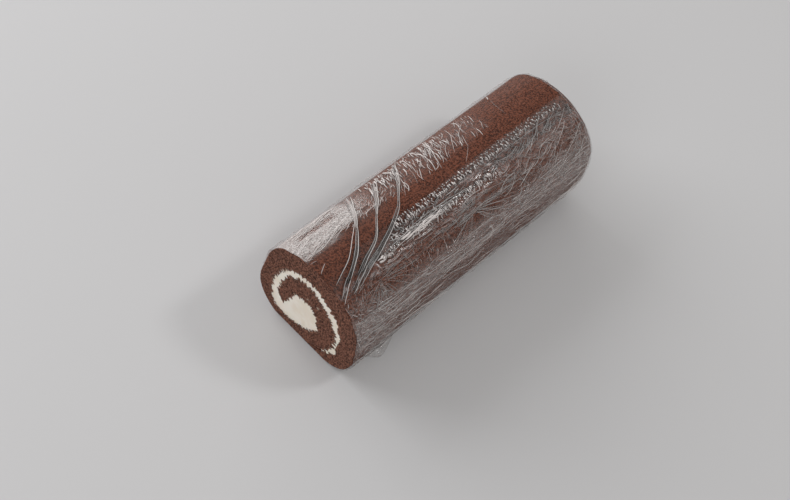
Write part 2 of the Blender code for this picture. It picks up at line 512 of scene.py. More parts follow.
@dataclass(frozen=True)
class ClingFilm:
    """Clear film: glossy where it is free, milky along its creases, dull where it clings to the sponge. Its milky white
    is partly the film's own haze and partly painted highlights and a painted reflection of the window.
    """

    # The milky colour is the film's own haze, and where it is strongest it also paints highlights and the reflection of
    # the window.
    milk_and_sheen: Color = (0.78, 0.735, 0.715)
    line_milk: float = 0.28
    free_roughness: float = 0.12
    clinging_roughness: float = 0.40
    clinging_dullness: float = 0.86
    line_depth: float = 0.16 * MM
    head_on_mirror: float = 0.06
    grazing_mirror: float = 0.85
    dye: Color = (0.985, 0.985, 0.985)
    grain: tuple[float, float] = (0.36, 0.62)

    def inside(self) -> bpy.types.Material:
        """Build the film's inner face: clear alone, since the outer face has all of the gloss."""
        graph = Graph("film_inside")
        clear = graph.add("ShaderNodeBsdfTransparent", None, Color=rgba(self.dye))
        return graph.output(clear.outputs[0])

    def material(self) -> bpy.types.Material:
        """Build the film's outer face."""
        graph = Graph("film_outside")
        sheet = graph.coordinates("UV")
        drift = graph.add("ShaderNodeTexNoise", None, Vector=sheet, Scale=110.0, Detail=1.0).outputs["Color"]
        drift = graph.vector("MULTIPLY", graph.vector("SUBTRACT", drift, (0.5, 0.5, 0.5)), (0.006, 0.006, 0.0))
        bent = graph.vector("ADD", sheet, drift)
        lines = self._lines(graph, sheet, bent)
        wrinkles = graph.noise(bent, 700.0, 2.0, 0.6)
        height = graph.math("ADD", lines, graph.math("MULTIPLY", wrinkles, 0.25))
        normal = graph.bump(height, self.line_depth)
        facing = graph.add("ShaderNodeLayerWeight", None, Blend=0.5, Normal=normal).outputs["Facing"]
        mirror = graph.math("MULTIPLY_ADD", graph.math("POWER", facing, 5.0), self.grazing_mirror)
        mirror.node.inputs[2].default_value = self.head_on_mirror
        clear = graph.add("ShaderNodeBsdfTransparent", None, Color=rgba(self.dye))
        cling = graph.attribute("cling")
        dulled = graph.math("SUBTRACT", 1.0, graph.math("MULTIPLY", cling, self.clinging_dullness))
        mirror = graph.math("MULTIPLY", mirror, dulled)
        roughness = graph.math("MULTIPLY_ADD", cling, self.clinging_roughness - self.free_roughness)
        roughness.node.inputs[2].default_value = self.free_roughness
        gloss = graph.add("ShaderNodeBsdfGlossy", None, Color=(1.0, 1.0, 1.0, 1.0), Roughness=roughness, Normal=normal)
        skin = graph.add("ShaderNodeMixShader", None, Fac=mirror, i1=clear.outputs[0], i2=gloss.outputs[0])
        haze = graph.add("ShaderNodeBsdfPrincipled", None, Base_Color=rgba(self.milk_and_sheen), Roughness=0.4, Normal=normal)
        grain = graph.ramp(graph.noise(sheet, 900.0, 2.0, 0.6), self.grain[0], self.grain[1])
        share = graph.math("MULTIPLY_ADD", grain, 0.75)
        share.node.inputs[2].default_value = 0.45
        # Milky haze from the sheet's looks: the film's own haze, and beside the cut end a painted reflection of the
        # window.
        haze_and_reflection = graph.math("MULTIPLY", graph.attribute("milk_and_sheen"), share)
        milk_and_sheen = graph.math("ADD", haze_and_reflection, graph.math("MULTIPLY", lines, self.line_milk), clamp=True)
        mixed = graph.add("ShaderNodeMixShader", None, Fac=milk_and_sheen, i1=skin.outputs[0], i2=haze.outputs[0])
        return graph.output(mixed.outputs[0])

    @staticmethod
    def _lines(graph: Graph, sheet: bpy.types.NodeSocket, bent: bpy.types.NodeSocket) -> bpy.types.NodeSocket:
        """Draw the fine creases: crumpled facets and long streaks, each where the sheet has them."""
        patches = graph.ramp(graph.noise(sheet, 130.0, 2.0), 0.42, 0.60)
        specks = graph.ramp(graph.noise(sheet, 420.0, 1.0), 0.45, 0.65)
        facets = graph.math("MULTIPLY", graph.cracks(bent, 210.0, 0.05), patches)
        crumple = graph.math("MULTIPLY", graph.cracks(bent, 560.0, 0.11), specks)
        crinkle = graph.math("MULTIPLY", graph.math("MAXIMUM", facets, crumple), graph.attribute("crinkle"))
        long = graph.streaks(bent, 4.0, 11.0, 420.0, 0.035)
        slanting = graph.math("MULTIPLY", graph.streaks(bent, 38.0, 9.0, 380.0, 0.03), patches)
        crossing = graph.math("MULTIPLY", graph.streaks(bent, -32.0, 8.0, 330.0, 0.03), specks)
        run = graph.math("MAXIMUM", graph.math("MAXIMUM", long, slanting), crossing)
        run = graph.math("MULTIPLY", run, graph.attribute("streaks"))
        return graph.math("MAXIMUM", crinkle, run)


@dataclass(frozen=True)
class FilmCrease:
    """Sharp folds of the film: whitish along the crest, fading away at both feet. The white is the fold's own haze, and
    on the brightest folds a painted highlight.
    """

    white: Color = (0.86, 0.80, 0.775)
    roughness: float = 0.28
    dye: Color = (0.985, 0.985, 0.985)

    def material(self) -> bpy.types.Material:
        """Build the folds' material."""
        graph = Graph("film_crease")
        clear = graph.add("ShaderNodeBsdfTransparent", None, Color=rgba(self.dye))
        haze = graph.add("ShaderNodeBsdfPrincipled", None, Base_Color=rgba(self.white), Roughness=self.roughness)
        # Whitish crest: the fold's own haze, and painted highlights and glints where it is strongest.
        mixed = graph.add("ShaderNodeMixShader", None, Fac=graph.attribute("milk_and_sheen"), i1=clear.outputs[0],
                          i2=haze.outputs[0])
        return graph.output(mixed.outputs[0])


@dataclass(frozen=True)
class PaleFloor:
    """Plain pale surface that the roll lies on."""

    color: Color = (0.57, 0.57, 0.575)

    def material(self) -> bpy.types.Material:
        """Build the floor's material."""
        graph = Graph("pale_floor")
        shader = graph.add("ShaderNodeBsdfPrincipled", None, Base_Color=rgba(self.color), Roughness=0.9)
        return graph.output(shader.outputs[0])


@dataclass
class SpongeRoll:
    """The rolled sponge: a strip of crumb with a skin, its cut faces torn where the knife dragged them."""

    section: RollSection
    degrees_per_column: float = 0.72
    rows: int = 18
    wall_step: float = 8.6 * MM
    rim_rounding: float = 3.5 * MM
    tear: float = 1.2 * MM
    tear_spacing: float = 1.0 * MM
    tear_depth: float = 1.6 * MM
    nick: float = 0.45 * MM
    tail_clock: float = 492.0
    crumb_relief: float = 0.30 * MM
    skin_relief: float = 0.35 * MM
    flecks: tuple[tuple[float, float, float], ...] = ((-6.8, 44.4, 1.0), (1.6, 43.2, 0.8), (15.0, 26.0, 0.7))

    def mesh(self) -> bmesh.types.BMesh:
        """Build the strip with both its cut faces.

        Returns:
            A closed cage whose faces have material number 0 on the skin and 1 on the crumb.
        """
        cage = bmesh.new()
        clock_layer = cage.verts.layers.float.new("clock")
        share_layer = cage.verts.layers.float.new("share")
        smear_layer = cage.verts.layers.float.new("smear")
        first, last = self.section.clocks[0], self.section.clocks[-1]
        columns = round((last - first) / self.degrees_per_column)
        bmesh.ops.create_grid(cage, x_segments=columns, y_segments=self.rows, size=0.5)
        for vert in cage.verts:
            vert[clock_layer] = first + (last - first) * (vert.co.x + 0.5)
            vert[share_layer] = vert.co.y + 0.5
        near = list(cage.verts)
        copied = bmesh.ops.duplicate(cage, geom=cage.verts[:] + cage.edges[:] + cage.faces[:])["geom"]
        far = [item for item in copied if isinstance(item, bmesh.types.BMVert)]
        for end, verts in ((End.CUT, near), (End.FAR, far)):
            for vert in verts:
                vert.co, vert[smear_layer] = self._face_point(vert[clock_layer], vert[share_layer], end)
        for face in cage.faces:
            face.material_index = 1
        edges = [edge for edge in cage.edges if edge.is_boundary and edge.verts[0].co.x < 0.0]
        for x in self._stations():
            extruded = bmesh.ops.extrude_edge_only(cage, edges=edges)["geom"]
            edges = [item for item in extruded if isinstance(item, bmesh.types.BMEdge)]
            for item in extruded:
                if isinstance(item, bmesh.types.BMVert):
                    item.co = self._wall_point(item[clock_layer], item[share_layer], x)
                    item[smear_layer] = 0.0
                elif isinstance(item, bmesh.types.BMFace):
                    item.material_index = 0
        bmesh.ops.remove_doubles(cage, verts=cage.verts, dist=5 * WELD)
        bmesh.ops.recalc_face_normals(cage, faces=cage.faces)
        return cage

    def _stations(self) -> list[float]:
        """X of each ring of the walls between the two cut faces."""
        start, stop = self.section.cut_end, self.section.far_end
        near = [start + depth * MM for depth in (0.4, 1.0, 2.0, 3.5)]
        far = [stop - self.rim_rounding * (1.0 - math.sin(math.radians(angle))) for angle in (0, 25, 45, 62, 78, 90)]
        middle = np.arange(near[-1] + self.wall_step, far[0] - 0.5 * self.wall_step, self.wall_step)
        return [*near, *middle, *far]

    def _outside(self, clock: float) -> float:
        """1 where the strip's skin side is the outside of the roll, 0 where it is inside the spiral."""
        return float(smooth_step(150.0, 172.0, clock))

    def _edge_weight(self, clock: float, share: float) -> float:
        """How far the knife tears a point of the cut face: most beside the cream, least at the rim."""
        cream_side = 1.0 - min(share / 0.35, 1.0)
        cream_side *= float(smooth_step(self.tail_clock + 4.0, self.tail_clock - 6.0, clock))
        skin_side = 1.0 - min((1.0 - share) / 0.35, 1.0)
        return max(cream_side, skin_side * float(smooth_step(134.0, 126.0, clock)))

    def _torn(self, clock: float, share: float, end: End) -> tuple[float, float]:
        """Shift of a torn edge: jagged teeth of crumb across the strip, and a little along it."""
        inner, outer = self.section.strip_faces(clock)
        radius = float(outer if share > 0.5 else inner)
        arc = math.radians(clock) * radius / self.tear_spacing
        seed = 31.7 * end.value + (7.3 if share > 0.5 else 0.0)
        tooth = 0.75 - 3.4 * abs(noise.noise(Vector((arc, seed, 0.0))))
        tooth += 1.8 * noise.noise(Vector((arc * 1.7, seed, 5.0)))
        wander = 0.8 * noise.noise(Vector((arc * 0.35, seed, 9.0)))
        across = self.tear * max(-1.7, min(tooth + wander, 1.7)) * min(1.0, float(outer - inner) / (5.0 * MM))
        along = 0.4 * self.tear * noise.noise(Vector((arc * 0.7, seed, 13.0)))
        turn = math.radians(clock)
        return -across * math.sin(turn) - along * math.cos(turn), across * math.cos(turn) - along * math.sin(turn)

    def _section_point(self, clock: float, share: float, x: float) -> tuple[float, float]:
        """Point of the undragged section, with the far rim rounded off and the cut rim nicked."""
        inner, outer = self.section.strip_faces(clock)
        over = max(0.0, x - (self.section.far_end - self.rim_rounding))
        inset = self.rim_rounding - math.sqrt(max(self.rim_rounding ** 2 - over ** 2, 0.0))
        depth = (x - self.section.cut_end) / self.tear_depth
        nicks = max(0.0, noise.noise(Vector((math.radians(clock) * outer / (1.3 * MM), 3.0, 0.0))) + 0.15)
        inset += self.nick * nicks * math.exp(-(depth ** 2))
        radius = inner + (outer - inner) * share
        across, up = core_point(radius - min(inset, 0.5 * (outer - inner)) * share * self._outside(clock), clock)
        return across, max(up, inset * smooth_step(0.0, 1.0 * MM, over))

    def _face_point(self, clock: float, share: float, end: End) -> tuple[Vector, float]:
        """Point of a cut face and how much cream is rubbed into it."""
        x = self.section.cut_end if end is End.CUT else self.section.far_end
        across, up = self._section_point(clock, share, x)
        weight = self._edge_weight(clock, share)
        shift = self._torn(clock, share, end)
        place = Vector((across, up, 3.0 * end.value * MM))
        coarse = noise.fractal(place / (3.2 * MM), 0.8, 2.0, 3)
        fine = noise.noise(place / (1.1 * MM))
        relief = self.crumb_relief * (0.9 * coarse + 0.6 * min(fine, 0.15))
        smear = max(0.0, weight * 2.0 - 1.5) * (0.5 + noise.noise(place / (2.0 * MM)))
        for left, height, size in self.flecks:
            distance = math.hypot(across - left * MM, up - height * MM) / (size * MM)
            smear = max(smear, 1.3 - distance) if end is End.CUT else smear
        rim = min(share, 1.0 - share) * self.rows
        fade = min(1.0, rim / 2.0) if self._outside(clock) > 0.0 else 1.0
        point = Vector((x - end.value * relief * -fade, across + shift[0] * weight, up + shift[1] * weight))
        return point, min(max(smear, 0.0), 1.0)

    def _wall_point(self, clock: float, share: float, x: float) -> Vector:
        """Point of the wall behind a cut face: the drag dies away with depth, and the skin is lumpy."""
        if x > self.section.far_end - WELD:
            return self._face_point(clock, share, End.FAR)[0]
        across, up = self._section_point(clock, share, x)
        end = End.CUT if x < 0.0 else End.FAR
        depth = x - self.section.cut_end if end is End.CUT else self.section.far_end - x
        weight = self._edge_weight(clock, share) * math.exp(-((depth / self.tear_depth) ** 2))
        shift = self._torn(clock, share, end)
        lump = noise.fractal(Vector((x, across, up)) / (13.0 * MM), 0.9, 2.0, 3) - 0.4
        outwards = Vector((across, up - MIDDLE_HEIGHT)).normalized() * self.skin_relief * lump * self._outside(clock)
        lift = outwards.y * float(smooth_step(0.0, 4.0 * MM, up)) * share
        return Vector((x, across + shift[0] * weight + outwards.x * share, up + shift[1] * weight + lift))

    def build(self) -> bpy.types.Object:
        """Make the piece and put it in the sponge's place."""
        piece = finished_piece("sponge_roll", self.mesh(), (SpongeSkin().material(), SpongeCrumb().material()))
        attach(piece, "root")
        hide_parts("sponge")
        return piece


@dataclass
class CreamFilling:
    """The cream: a thick core and a layer that follows the sponge round, wiped flat by the knife."""

    section: RollSection
    overlap: float = 1.5 * MM
    tail_clock: float = 492.0
    step_degrees: float = 2.0
    lattice: float = 0.8 * MM
    recess: float = 0.30 * MM

    def outline(self) -> list[tuple[float, float]]:
        """Outline of the filling, reaching a little way into the crumb on both sides."""
        first = self.section.clocks[0] - 3.0
        clocks = np.arange(first, self.tail_clock + self.step_degrees, self.step_degrees)
        cream_side, skin_side = self.section.strip_faces(clocks)
        points = [core_point(side + self._reach(clock), clock) for clock, side in zip(clocks, cream_side)]
        for clock, side in reversed(list(zip(clocks, skin_side))):
            if clock < self.tail_clock - 360.0:
                points.append(core_point(side - self._reach(clock), clock))
        return points

    def _reach(self, clock: float) -> float:
        """How far the cream reaches into the crumb, less where the strip is thin."""
        inner, outer = self.section.strip_faces(clock)
        return float(min(self.overlap, 0.4 * (outer - inner)))

    def mesh(self) -> bmesh.types.BMesh:
        """Fill the outline, cut it into a fine lattice for the knife's marks, and run it through the roll."""
        cage = bmesh.new()
        verts = [cage.verts.new((self.section.cut_end, across, up)) for across, up in self.outline()]
        edges = [cage.edges.new((verts[index - 1], vert)) for index, vert in enumerate(verts)]
        bmesh.ops.triangle_fill(cage, use_beauty=True, use_dissolve=False, edges=edges)
        for axis in (1, 2):
            places = [vert.co[axis] for vert in cage.verts]
            normal = Vector((0.0, 0.0, 0.0))
            normal[axis] = 1.0
            for level in np.arange(min(places) + self.lattice, max(places), self.lattice):
                bmesh.ops.bisect_plane(cage, geom=cage.verts[:] + cage.edges[:] + cage.faces[:], dist=WELD,
                                       plane_co=normal * float(level), plane_no=normal)
        copied = bmesh.ops.duplicate(cage, geom=cage.verts[:] + cage.edges[:] + cage.faces[:])["geom"]
        far = [item for item in copied if isinstance(item, bmesh.types.BMVert)]
        bmesh.ops.translate(cage, verts=far, vec=(self.section.length, 0.0, 0.0))
        rim = [edge for edge in cage.edges if edge.is_boundary and edge.verts[0].co.x < 0.0]
        extruded = bmesh.ops.extrude_edge_only(cage, edges=rim)["geom"]
        walls = [item for item in extruded if isinstance(item, bmesh.types.BMVert)]
        bmesh.ops.translate(cage, verts=walls, vec=(self.section.length, 0.0, 0.0))
        bmesh.ops.remove_doubles(cage, verts=cage.verts, dist=5 * WELD)
        for vert in cage.verts:
            marks = noise.noise(Vector((vert.co.y / (1.0 * MM), vert.co.z / (9.0 * MM), vert.co.x)))
            swell = noise.noise(Vector((vert.co.y, vert.co.z, vert.co.x)) / (9.0 * MM))
            inwards = self.recess + 0.10 * MM * marks + 0.16 * MM * swell
            vert.co.x -= math.copysign(inwards, vert.co.x)
        bmesh.ops.recalc_face_normals(cage, faces=cage.faces)
        return cage

    def build(self) -> bpy.types.Object:
        """Make the piece and put it in the cream's place."""
        piece = finished_piece("cream_filling", self.mesh(), (SetCream().material(),))
        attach(piece, "root")
        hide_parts("cream")
        return piece


ROUND_MM = 0.68  # millimetres round the roll for each turn degree


@dataclass(frozen=True)
class Crease:
    """One crease on the film's map, whose places are millimetres from the cut end and turn degrees."""

    places: Sequence[tuple[float, float]]
    width: float = 0.7
    height: float = 0.2
    milk_and_sheen: float = 0.5

    def path(self, spacing: float = 1.3) -> np.ndarray:
        """Smooth line through the places.

        Args:
            spacing: Millimetres between its points.

        Returns:
            Rows of millimetres along the roll and round it.
        """
        knots = np.array(self.places, dtype=float) * (1.0, ROUND_MM)
        padded = np.vstack((2.0 * knots[0] - knots[1], knots, 2.0 * knots[-1] - knots[-2]))
        runs = []
        for before, first, second, after in zip(padded, padded[1:], padded[2:], padded[3:]):
            steps = max(2, round(float(np.linalg.norm(second - first)) / spacing))
            t = np.arange(steps)[:, None] / steps
            pull = 2.0 * before - 5.0 * first + 4.0 * second - after
            twist = 3.0 * first - before - 3.0 * second + after
            runs.append(0.5 * (2.0 * first + (second - before) * t + pull * t ** 2 + twist * t ** 3))
        return np.vstack((*runs, knots[-1:]))


def short_crease(middle: tuple[float, float], heading: float, length: float, bend: float, width: float, height: float,
                 milk_and_sheen: float) -> Crease:
    """Crease of a given length about a place, bowed sideways by its bend.

    Args:
        middle: Its middle on the film's map.
        heading: Its direction in degrees from along the roll.
        length: Its length in millimetres.
        bend: Sideways bow as a share of the length.
        width: Its width in millimetres.
        height: Its height in millimetres.
        milk_and_sheen: How white its crest is.

    Returns:
        The crease.
    """
    way = np.array((math.cos(math.radians(heading)), math.sin(math.radians(heading))))
    side = np.array((-way[1], way[0]))
    centre = np.array(middle) * (1.0, ROUND_MM)
    knots = (centre - way * length / 2, centre + side * bend * length, centre + way * length / 2)
    return Crease([(knot[0], knot[1] / ROUND_MM) for knot in knots], width, height, milk_and_sheen)


@dataclass(frozen=True)
class Ribbon:
    """A narrow fold of the film: a bright line along each side and a pale band between them."""

    places: Sequence[tuple[float, float]]
    widths: tuple[float, float]
    milk_and_sheen: float
    band: float = 0.14

    def creases(self, rng: np.random.Generator) -> Iterator[Crease]:
        """Yield the two lines and the band."""
        middle = Crease(self.places).path()
        run = np.gradient(middle, axis=0)
        run /= np.linalg.norm(run, axis=1)[:, None]
        half = 0.5 * np.linspace(*self.widths, len(middle))
        for side, share in ((1.0, 1.0), (-1.0, 0.5)):
            line = middle + (side * half)[:, None] * np.stack((-run[:, 1], run[:, 0]), axis=1)
            line += rng.normal(0.0, 0.12, line.shape)
            yield Crease([(row, column / ROUND_MM) for row, column in line[::4]], 0.85, 0.25, self.milk_and_sheen * share)
        yield Crease(self.places, 1.5 * sum(self.widths) / 2.0, 0.1, self.milk_and_sheen * self.band)


@dataclass(frozen=True)
class Rungs:
    """A row of short creases side by side, as where the edge of a film clings."""

    along: tuple[float, float]
    turn: tuple[float, float]
    spacing: float
    length: float
    heading: float
    width: float = 0.7
    height: float = 0.25
    milk_and_sheen: float = 0.5

    def creases(self, rng: np.random.Generator) -> Iterator[Crease]:
        """Yield the rungs, each a little out of line."""
        place = self.along[0]
        while place < self.along[1]:
            share = (place - self.along[0]) / (self.along[1] - self.along[0])
            turn = self.turn[0] + (self.turn[1] - self.turn[0]) * share + rng.normal(0.0, 0.7)
            fading = float(smooth_step(0.0, 0.06, share) * (1.0 - 0.25 * share))
            yield short_crease((place, turn), self.heading + rng.normal(0.0, 18.0), self.length * rng.uniform(0.5, 1.4),
                               rng.uniform(-0.15, 0.15), self.width * rng.uniform(0.7, 1.3), self.height,
                               self.milk_and_sheen * fading * rng.uniform(0.5, 1.4))
            place += self.spacing * rng.uniform(0.6, 1.4)


@dataclass(frozen=True)
class Fan:
    """Creases that spread from one point, where the film is pinched."""

    centre: tuple[float, float]
    headings: tuple[float, float]
    reach: tuple[float, float]
    count: int
    width: float = 0.6
    height: float = 0.2
    milk_and_sheen: float = 0.35

    def creases(self, rng: np.random.Generator) -> Iterator[Crease]:
        """Yield the fan's creases."""
        for index in range(self.count):
            share = (index + rng.uniform(-0.35, 0.35)) / max(self.count - 1, 1)
            heading = self.headings[0] + (self.headings[1] - self.headings[0]) * share
            near, far = rng.uniform(0.5, 4.0), rng.uniform(*self.reach)
            half = 0.5 * (near + far)
            middle = (self.centre[0] + half * math.cos(math.radians(heading)),
                      self.centre[1] + half * math.sin(math.radians(heading)) / ROUND_MM)
            yield short_crease(middle, heading, far - near, rng.uniform(-0.05, 0.05),
                               self.width * rng.uniform(0.7, 1.3), self.height, self.milk_and_sheen * rng.uniform(0.4, 1.2))


@dataclass(frozen=True)
class Strokes:
    """Creases strewn over a part of the film with a common heading."""

    along: tuple[float, float]
    turn: tuple[float, float]
    count: int
    length: tuple[float, float]
    heading: float
    spread: float
    width: float = 0.55
    height: float = 0.18
    milk_and_sheen: float = 0.4
    bend: float = 0.08

    def creases(self, rng: np.random.Generator) -> Iterator[Crease]:
        """Yield the strewn creases."""
        for _ in range(self.count):
            middle = (rng.uniform(*self.along), rng.uniform(*self.turn))
            yield short_crease(middle, self.heading + rng.normal(0.0, self.spread), rng.uniform(*self.length),
                               rng.normal(0.0, self.bend), self.width * rng.uniform(0.6, 1.4),
                               self.height * rng.uniform(0.5, 1.4), self.milk_and_sheen * rng.uniform(0.3, 1.5))


Pattern = Ribbon | Rungs | Fan | Strokes


@dataclass(frozen=True)
class Zone:
    """A part of the film with a look of its own, fading out softly at its borders."""

    along: tuple[float, float]
    turn: tuple[float, float]
    milk_and_sheen: float = 0.0
    crinkle: float = 0.0
    streaks: float = 0.0
    cling: float = 0.0
    swell: float = 0.0
    soft_along: float = 8.0
    soft_turn: float = 5.0

    def weight(self, along: np.ndarray, turn: np.ndarray) -> np.ndarray:
        """Share of the zone's look at each place."""
        rows = smooth_step(self.along[0] - self.soft_along, self.along[0] + self.soft_along, along)
        rows = rows * smooth_step(self.along[1] + self.soft_along, self.along[1] - self.soft_along, along)
        columns = smooth_step(self.turn[0] - self.soft_turn, self.turn[0] + self.soft_turn, turn)
        columns = columns * smooth_step(self.turn[1] + self.soft_turn, self.turn[1] - self.soft_turn, turn)
        return rows * columns


LOOKS = ("milk_and_sheen", "crinkle", "streaks", "cling")


@dataclass
class FilmSheet:
    """A sheet of cling film that lies round the roll, with its creases as real height."""

    section: RollSection
    name: str
    turns: tuple[float, float]
    cells: tuple[float, float]
    lift: float
    seed: int
    zones: Sequence[Zone] = ()
    patterns: Sequence[Pattern] = ()
    placed: Sequence[Crease] = ()
    unevenness: float = 0.22
    wall: float = 0.05 * MM
    round_off: float = 3.5 * MM
    edge_fade: tuple[float, float] = (2.0, 2.0)
    snug: float = 0.45 * MM

    def reach(self) -> float:
        """Millimetres that the sheet covers along the roll."""
        return (self.section.length - self.round_off) / MM

    def _radius(self, along: np.ndarray, turn: np.ndarray) -> np.ndarray:
        """Distance from the roll's middle: the hem stands off near both ends and lies close between them."""
        loose = self.section.film.radius(turn)
        tight = np.minimum(self.section.cake.radius(turn) + self.snug, loose)
        wrapped = np.asarray(turn) % 360.0
        held = smooth_step(60.0, 80.0, along) * smooth_step(176.0, 150.0, along)
        held = held * smooth_step(196.0, 208.0, wrapped) * smooth_step(268.0, 256.0, wrapped)
        return loose + (tight - loose) * held

    def grid(self) -> tuple[np.ndarray, np.ndarray]:
        """Millimetres along the roll and turn degrees of the sheet's rows and columns."""
        rows = round(self.reach() / self.cells[0])
        columns = round((self.turns[1] - self.turns[0]) * ROUND_MM / self.cells[1])
        return np.linspace(0.0, self.reach(), rows + 1), np.linspace(*self.turns, columns + 1)

    def creases(self) -> list[Crease]:
        """All the sheet's creases, placed and strewn."""
        rng = np.random.default_rng(self.seed + 2)
        return [*self.placed, *(crease for pattern in self.patterns for crease in pattern.creases(rng))]

    def relief(self, along: np.ndarray, turn: np.ndarray) -> tuple[np.ndarray, dict[str, np.ndarray]]:
        """Height and looks of the sheet.

        Args:
            along: Millimetres along the roll of the rows.
            turn: Turn degrees of the columns.

        Returns:
            Height in millimetres and the looks by name, each as one array of rows and columns.
        """
        rows, degrees = np.meshgrid(along, turn, indexing="ij")
        columns = degrees * ROUND_MM
        height = self.unevenness * wave_field(rows, columns, 14.0, self.seed, 1.6)
        height = np.maximum(height + 0.45 * self.unevenness * wave_field(rows, columns, 5.0, self.seed + 1, 1.4), -0.1)
        looks = {name: np.zeros(rows.shape) for name in LOOKS}
        for zone in self.zones:
            weight = zone.weight(rows, degrees)
            for name in LOOKS:
                looks[name] = np.maximum(looks[name], weight * getattr(zone, name))
            billow = 0.75 + 0.45 * wave_field(rows, columns, 22.0, self.seed + 3, 2.0)
            height = height + zone.swell * weight * billow
        for crease in self.creases():
            self._press(crease, along, turn * ROUND_MM, height)
        fade = smooth_step(0.0, self.edge_fade[0], rows[-1, 0] - rows)
        fade = fade * smooth_step(0.0, self.edge_fade[1], np.minimum(degrees - turn[0], turn[-1] - degrees))
        return height * fade, looks

    @staticmethod
    def _press(crease: Crease, along: np.ndarray, around: np.ndarray, height: np.ndarray) -> None:
        """Raise the sheet softly on both sides of a crease."""
        points = crease.path(3.0)
        reach = 1.2 * crease.width
        margin = reach * 2.5
        rows = slice(*np.searchsorted(along, (points[:, 0].min() - margin, points[:, 0].max() + margin)))
        columns = slice(*np.searchsorted(around, (points[:, 1].min() - margin, points[:, 1].max() + margin)))
        if rows.start >= rows.stop or columns.start >= columns.stop:
            return
        first, second = np.meshgrid(along[rows], around[columns], indexing="ij")
        nearest = np.full(first.shape, 1e9)
        place = np.zeros(first.shape)
        for index, (low, high) in enumerate(zip(points[:-1], points[1:])):
            run = high - low
            share = np.clip(((first - low[0]) * run[0] + (second - low[1]) * run[1]) / (run @ run + 1e-9), 0.0, 1.0)
            distance = np.hypot(first - low[0] - share * run[0], second - low[1] - share * run[1])
            closer = distance < nearest
            nearest = np.where(closer, distance, nearest)
            place = np.where(closer, (index + share) / (len(points) - 1), place)
        taper = np.sqrt(np.clip(4.0 * place * (1.0 - place), 0.0, 1.0))
        height[rows, columns] += crease.height * np.exp(-((nearest / reach) ** 2)) * taper

    def _outwards(self, turn: np.ndarray) -> tuple[np.ndarray, np.ndarray]:
        """Unit normals of the roll's section, as (left, up)."""
        ahead, behind = np.radians(turn + 0.5), np.radians(turn - 0.5)
        far, near = self.section.film.radius(turn + 0.5), self.section.film.radius(turn - 0.5)
        left = far * np.cos(ahead) - near * np.cos(behind)
        up = far * np.sin(ahead) - near * np.sin(behind)
        size = np.hypot(left, up)
        return up / size, -left / size

    def places(self, along: np.ndarray, turn: np.ndarray, height: np.ndarray) -> np.ndarray:
        """Points of the sheet, lifted off the roll along its normals.

        Args:
            along: Millimetres along the roll.
            turn: Turn degrees, of the same shape.
            height: Height over the sheet's smooth form in millimetres, of the same shape.

        Returns:
            Points, with one more axis for x, y and z.
        """
        radius = self._radius(along, turn)
        left, up = self._outwards(turn)
        lifted = self.lift + height * MM
        x = self.section.cut_end + along * MM - self._overhang(along, turn)
        y = radius * np.cos(np.radians(turn)) + lifted * left
        z = MIDDLE_HEIGHT + radius * np.sin(np.radians(turn)) + lifted * up
        return np.stack((x, y, z), axis=-1)

    def _overhang(self, along: np.ndarray, turn: np.ndarray) -> np.ndarray:
        """How far the sheet's edge at the cut end stands past the cut, unevenly."""
        lower = smooth_step(200.0, 230.0, np.asarray(turn) % 360.0)
        ragged = 0.15 - 2.5 * lower + 0.3 * wave_field(turn, 0.0 * turn, 17.0, self.seed + 5)
        return smooth_step(7.0, 0.0, along) * ragged * MM

    def build(self, walls: Sequence[bpy.types.Material], ridge: bpy.types.Material) -> list[bpy.types.Object]:
        """Make the sheet with a thin wall, and its creases as fine ridges on it.

        Args:
            walls: Materials of the sheet's outer and inner face.
            ridge: Material of the ridges.

        Returns:
            The objects, declared to the frame.
        """
        along, turn = self.grid()
        height, looks = self.relief(along, turn)
        pieces = [self._sheet(walls, along, turn, height, looks), self._ridges(ridge, along, turn, height)]
        for piece in pieces:
            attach(piece, "root")
            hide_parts("film")
        return pieces

    def _sheet(self, walls: Sequence[bpy.types.Material], along: np.ndarray, turn: np.ndarray, height: np.ndarray,
               looks: dict[str, np.ndarray]) -> bpy.types.Object:
        """Make the sheet itself."""
        rows, columns = np.meshgrid(along, turn, indexing="ij")
        points = self.places(rows, columns, height)
        points[..., 2] = np.maximum(points[..., 2], 0.15 * MM)
        cage = bmesh.new()
        layers = {name: cage.verts.layers.float.new(name) for name in LOOKS}
        bmesh.ops.create_grid(cage, x_segments=len(along) - 1, y_segments=len(turn) - 1, size=0.5)
        sheet_layer = cage.loops.layers.uv.new("sheet")
        for face in cage.faces:
            for loop in face.loops:
                row, column = self._cell(loop.vert.co, len(along), len(turn))
                loop[sheet_layer].uv = (along[row] * MM, turn[column] * ROUND_MM * MM)
        for vert in cage.verts:
            row, column = self._cell(vert.co, len(along), len(turn))
            for name, layer in layers.items():
                vert[layer] = looks[name][row, column]
            vert.co = points[row, column]
        bmesh.ops.remove_doubles(cage, verts=cage.verts, dist=5 * WELD)
        piece = finished_piece(self.name, cage, walls, 180.0)
        thickness = piece.modifiers.new("Wall", "SOLIDIFY")
        thickness.thickness = self.wall
        thickness.offset = 1.0
        thickness.material_offset = 1
        return piece

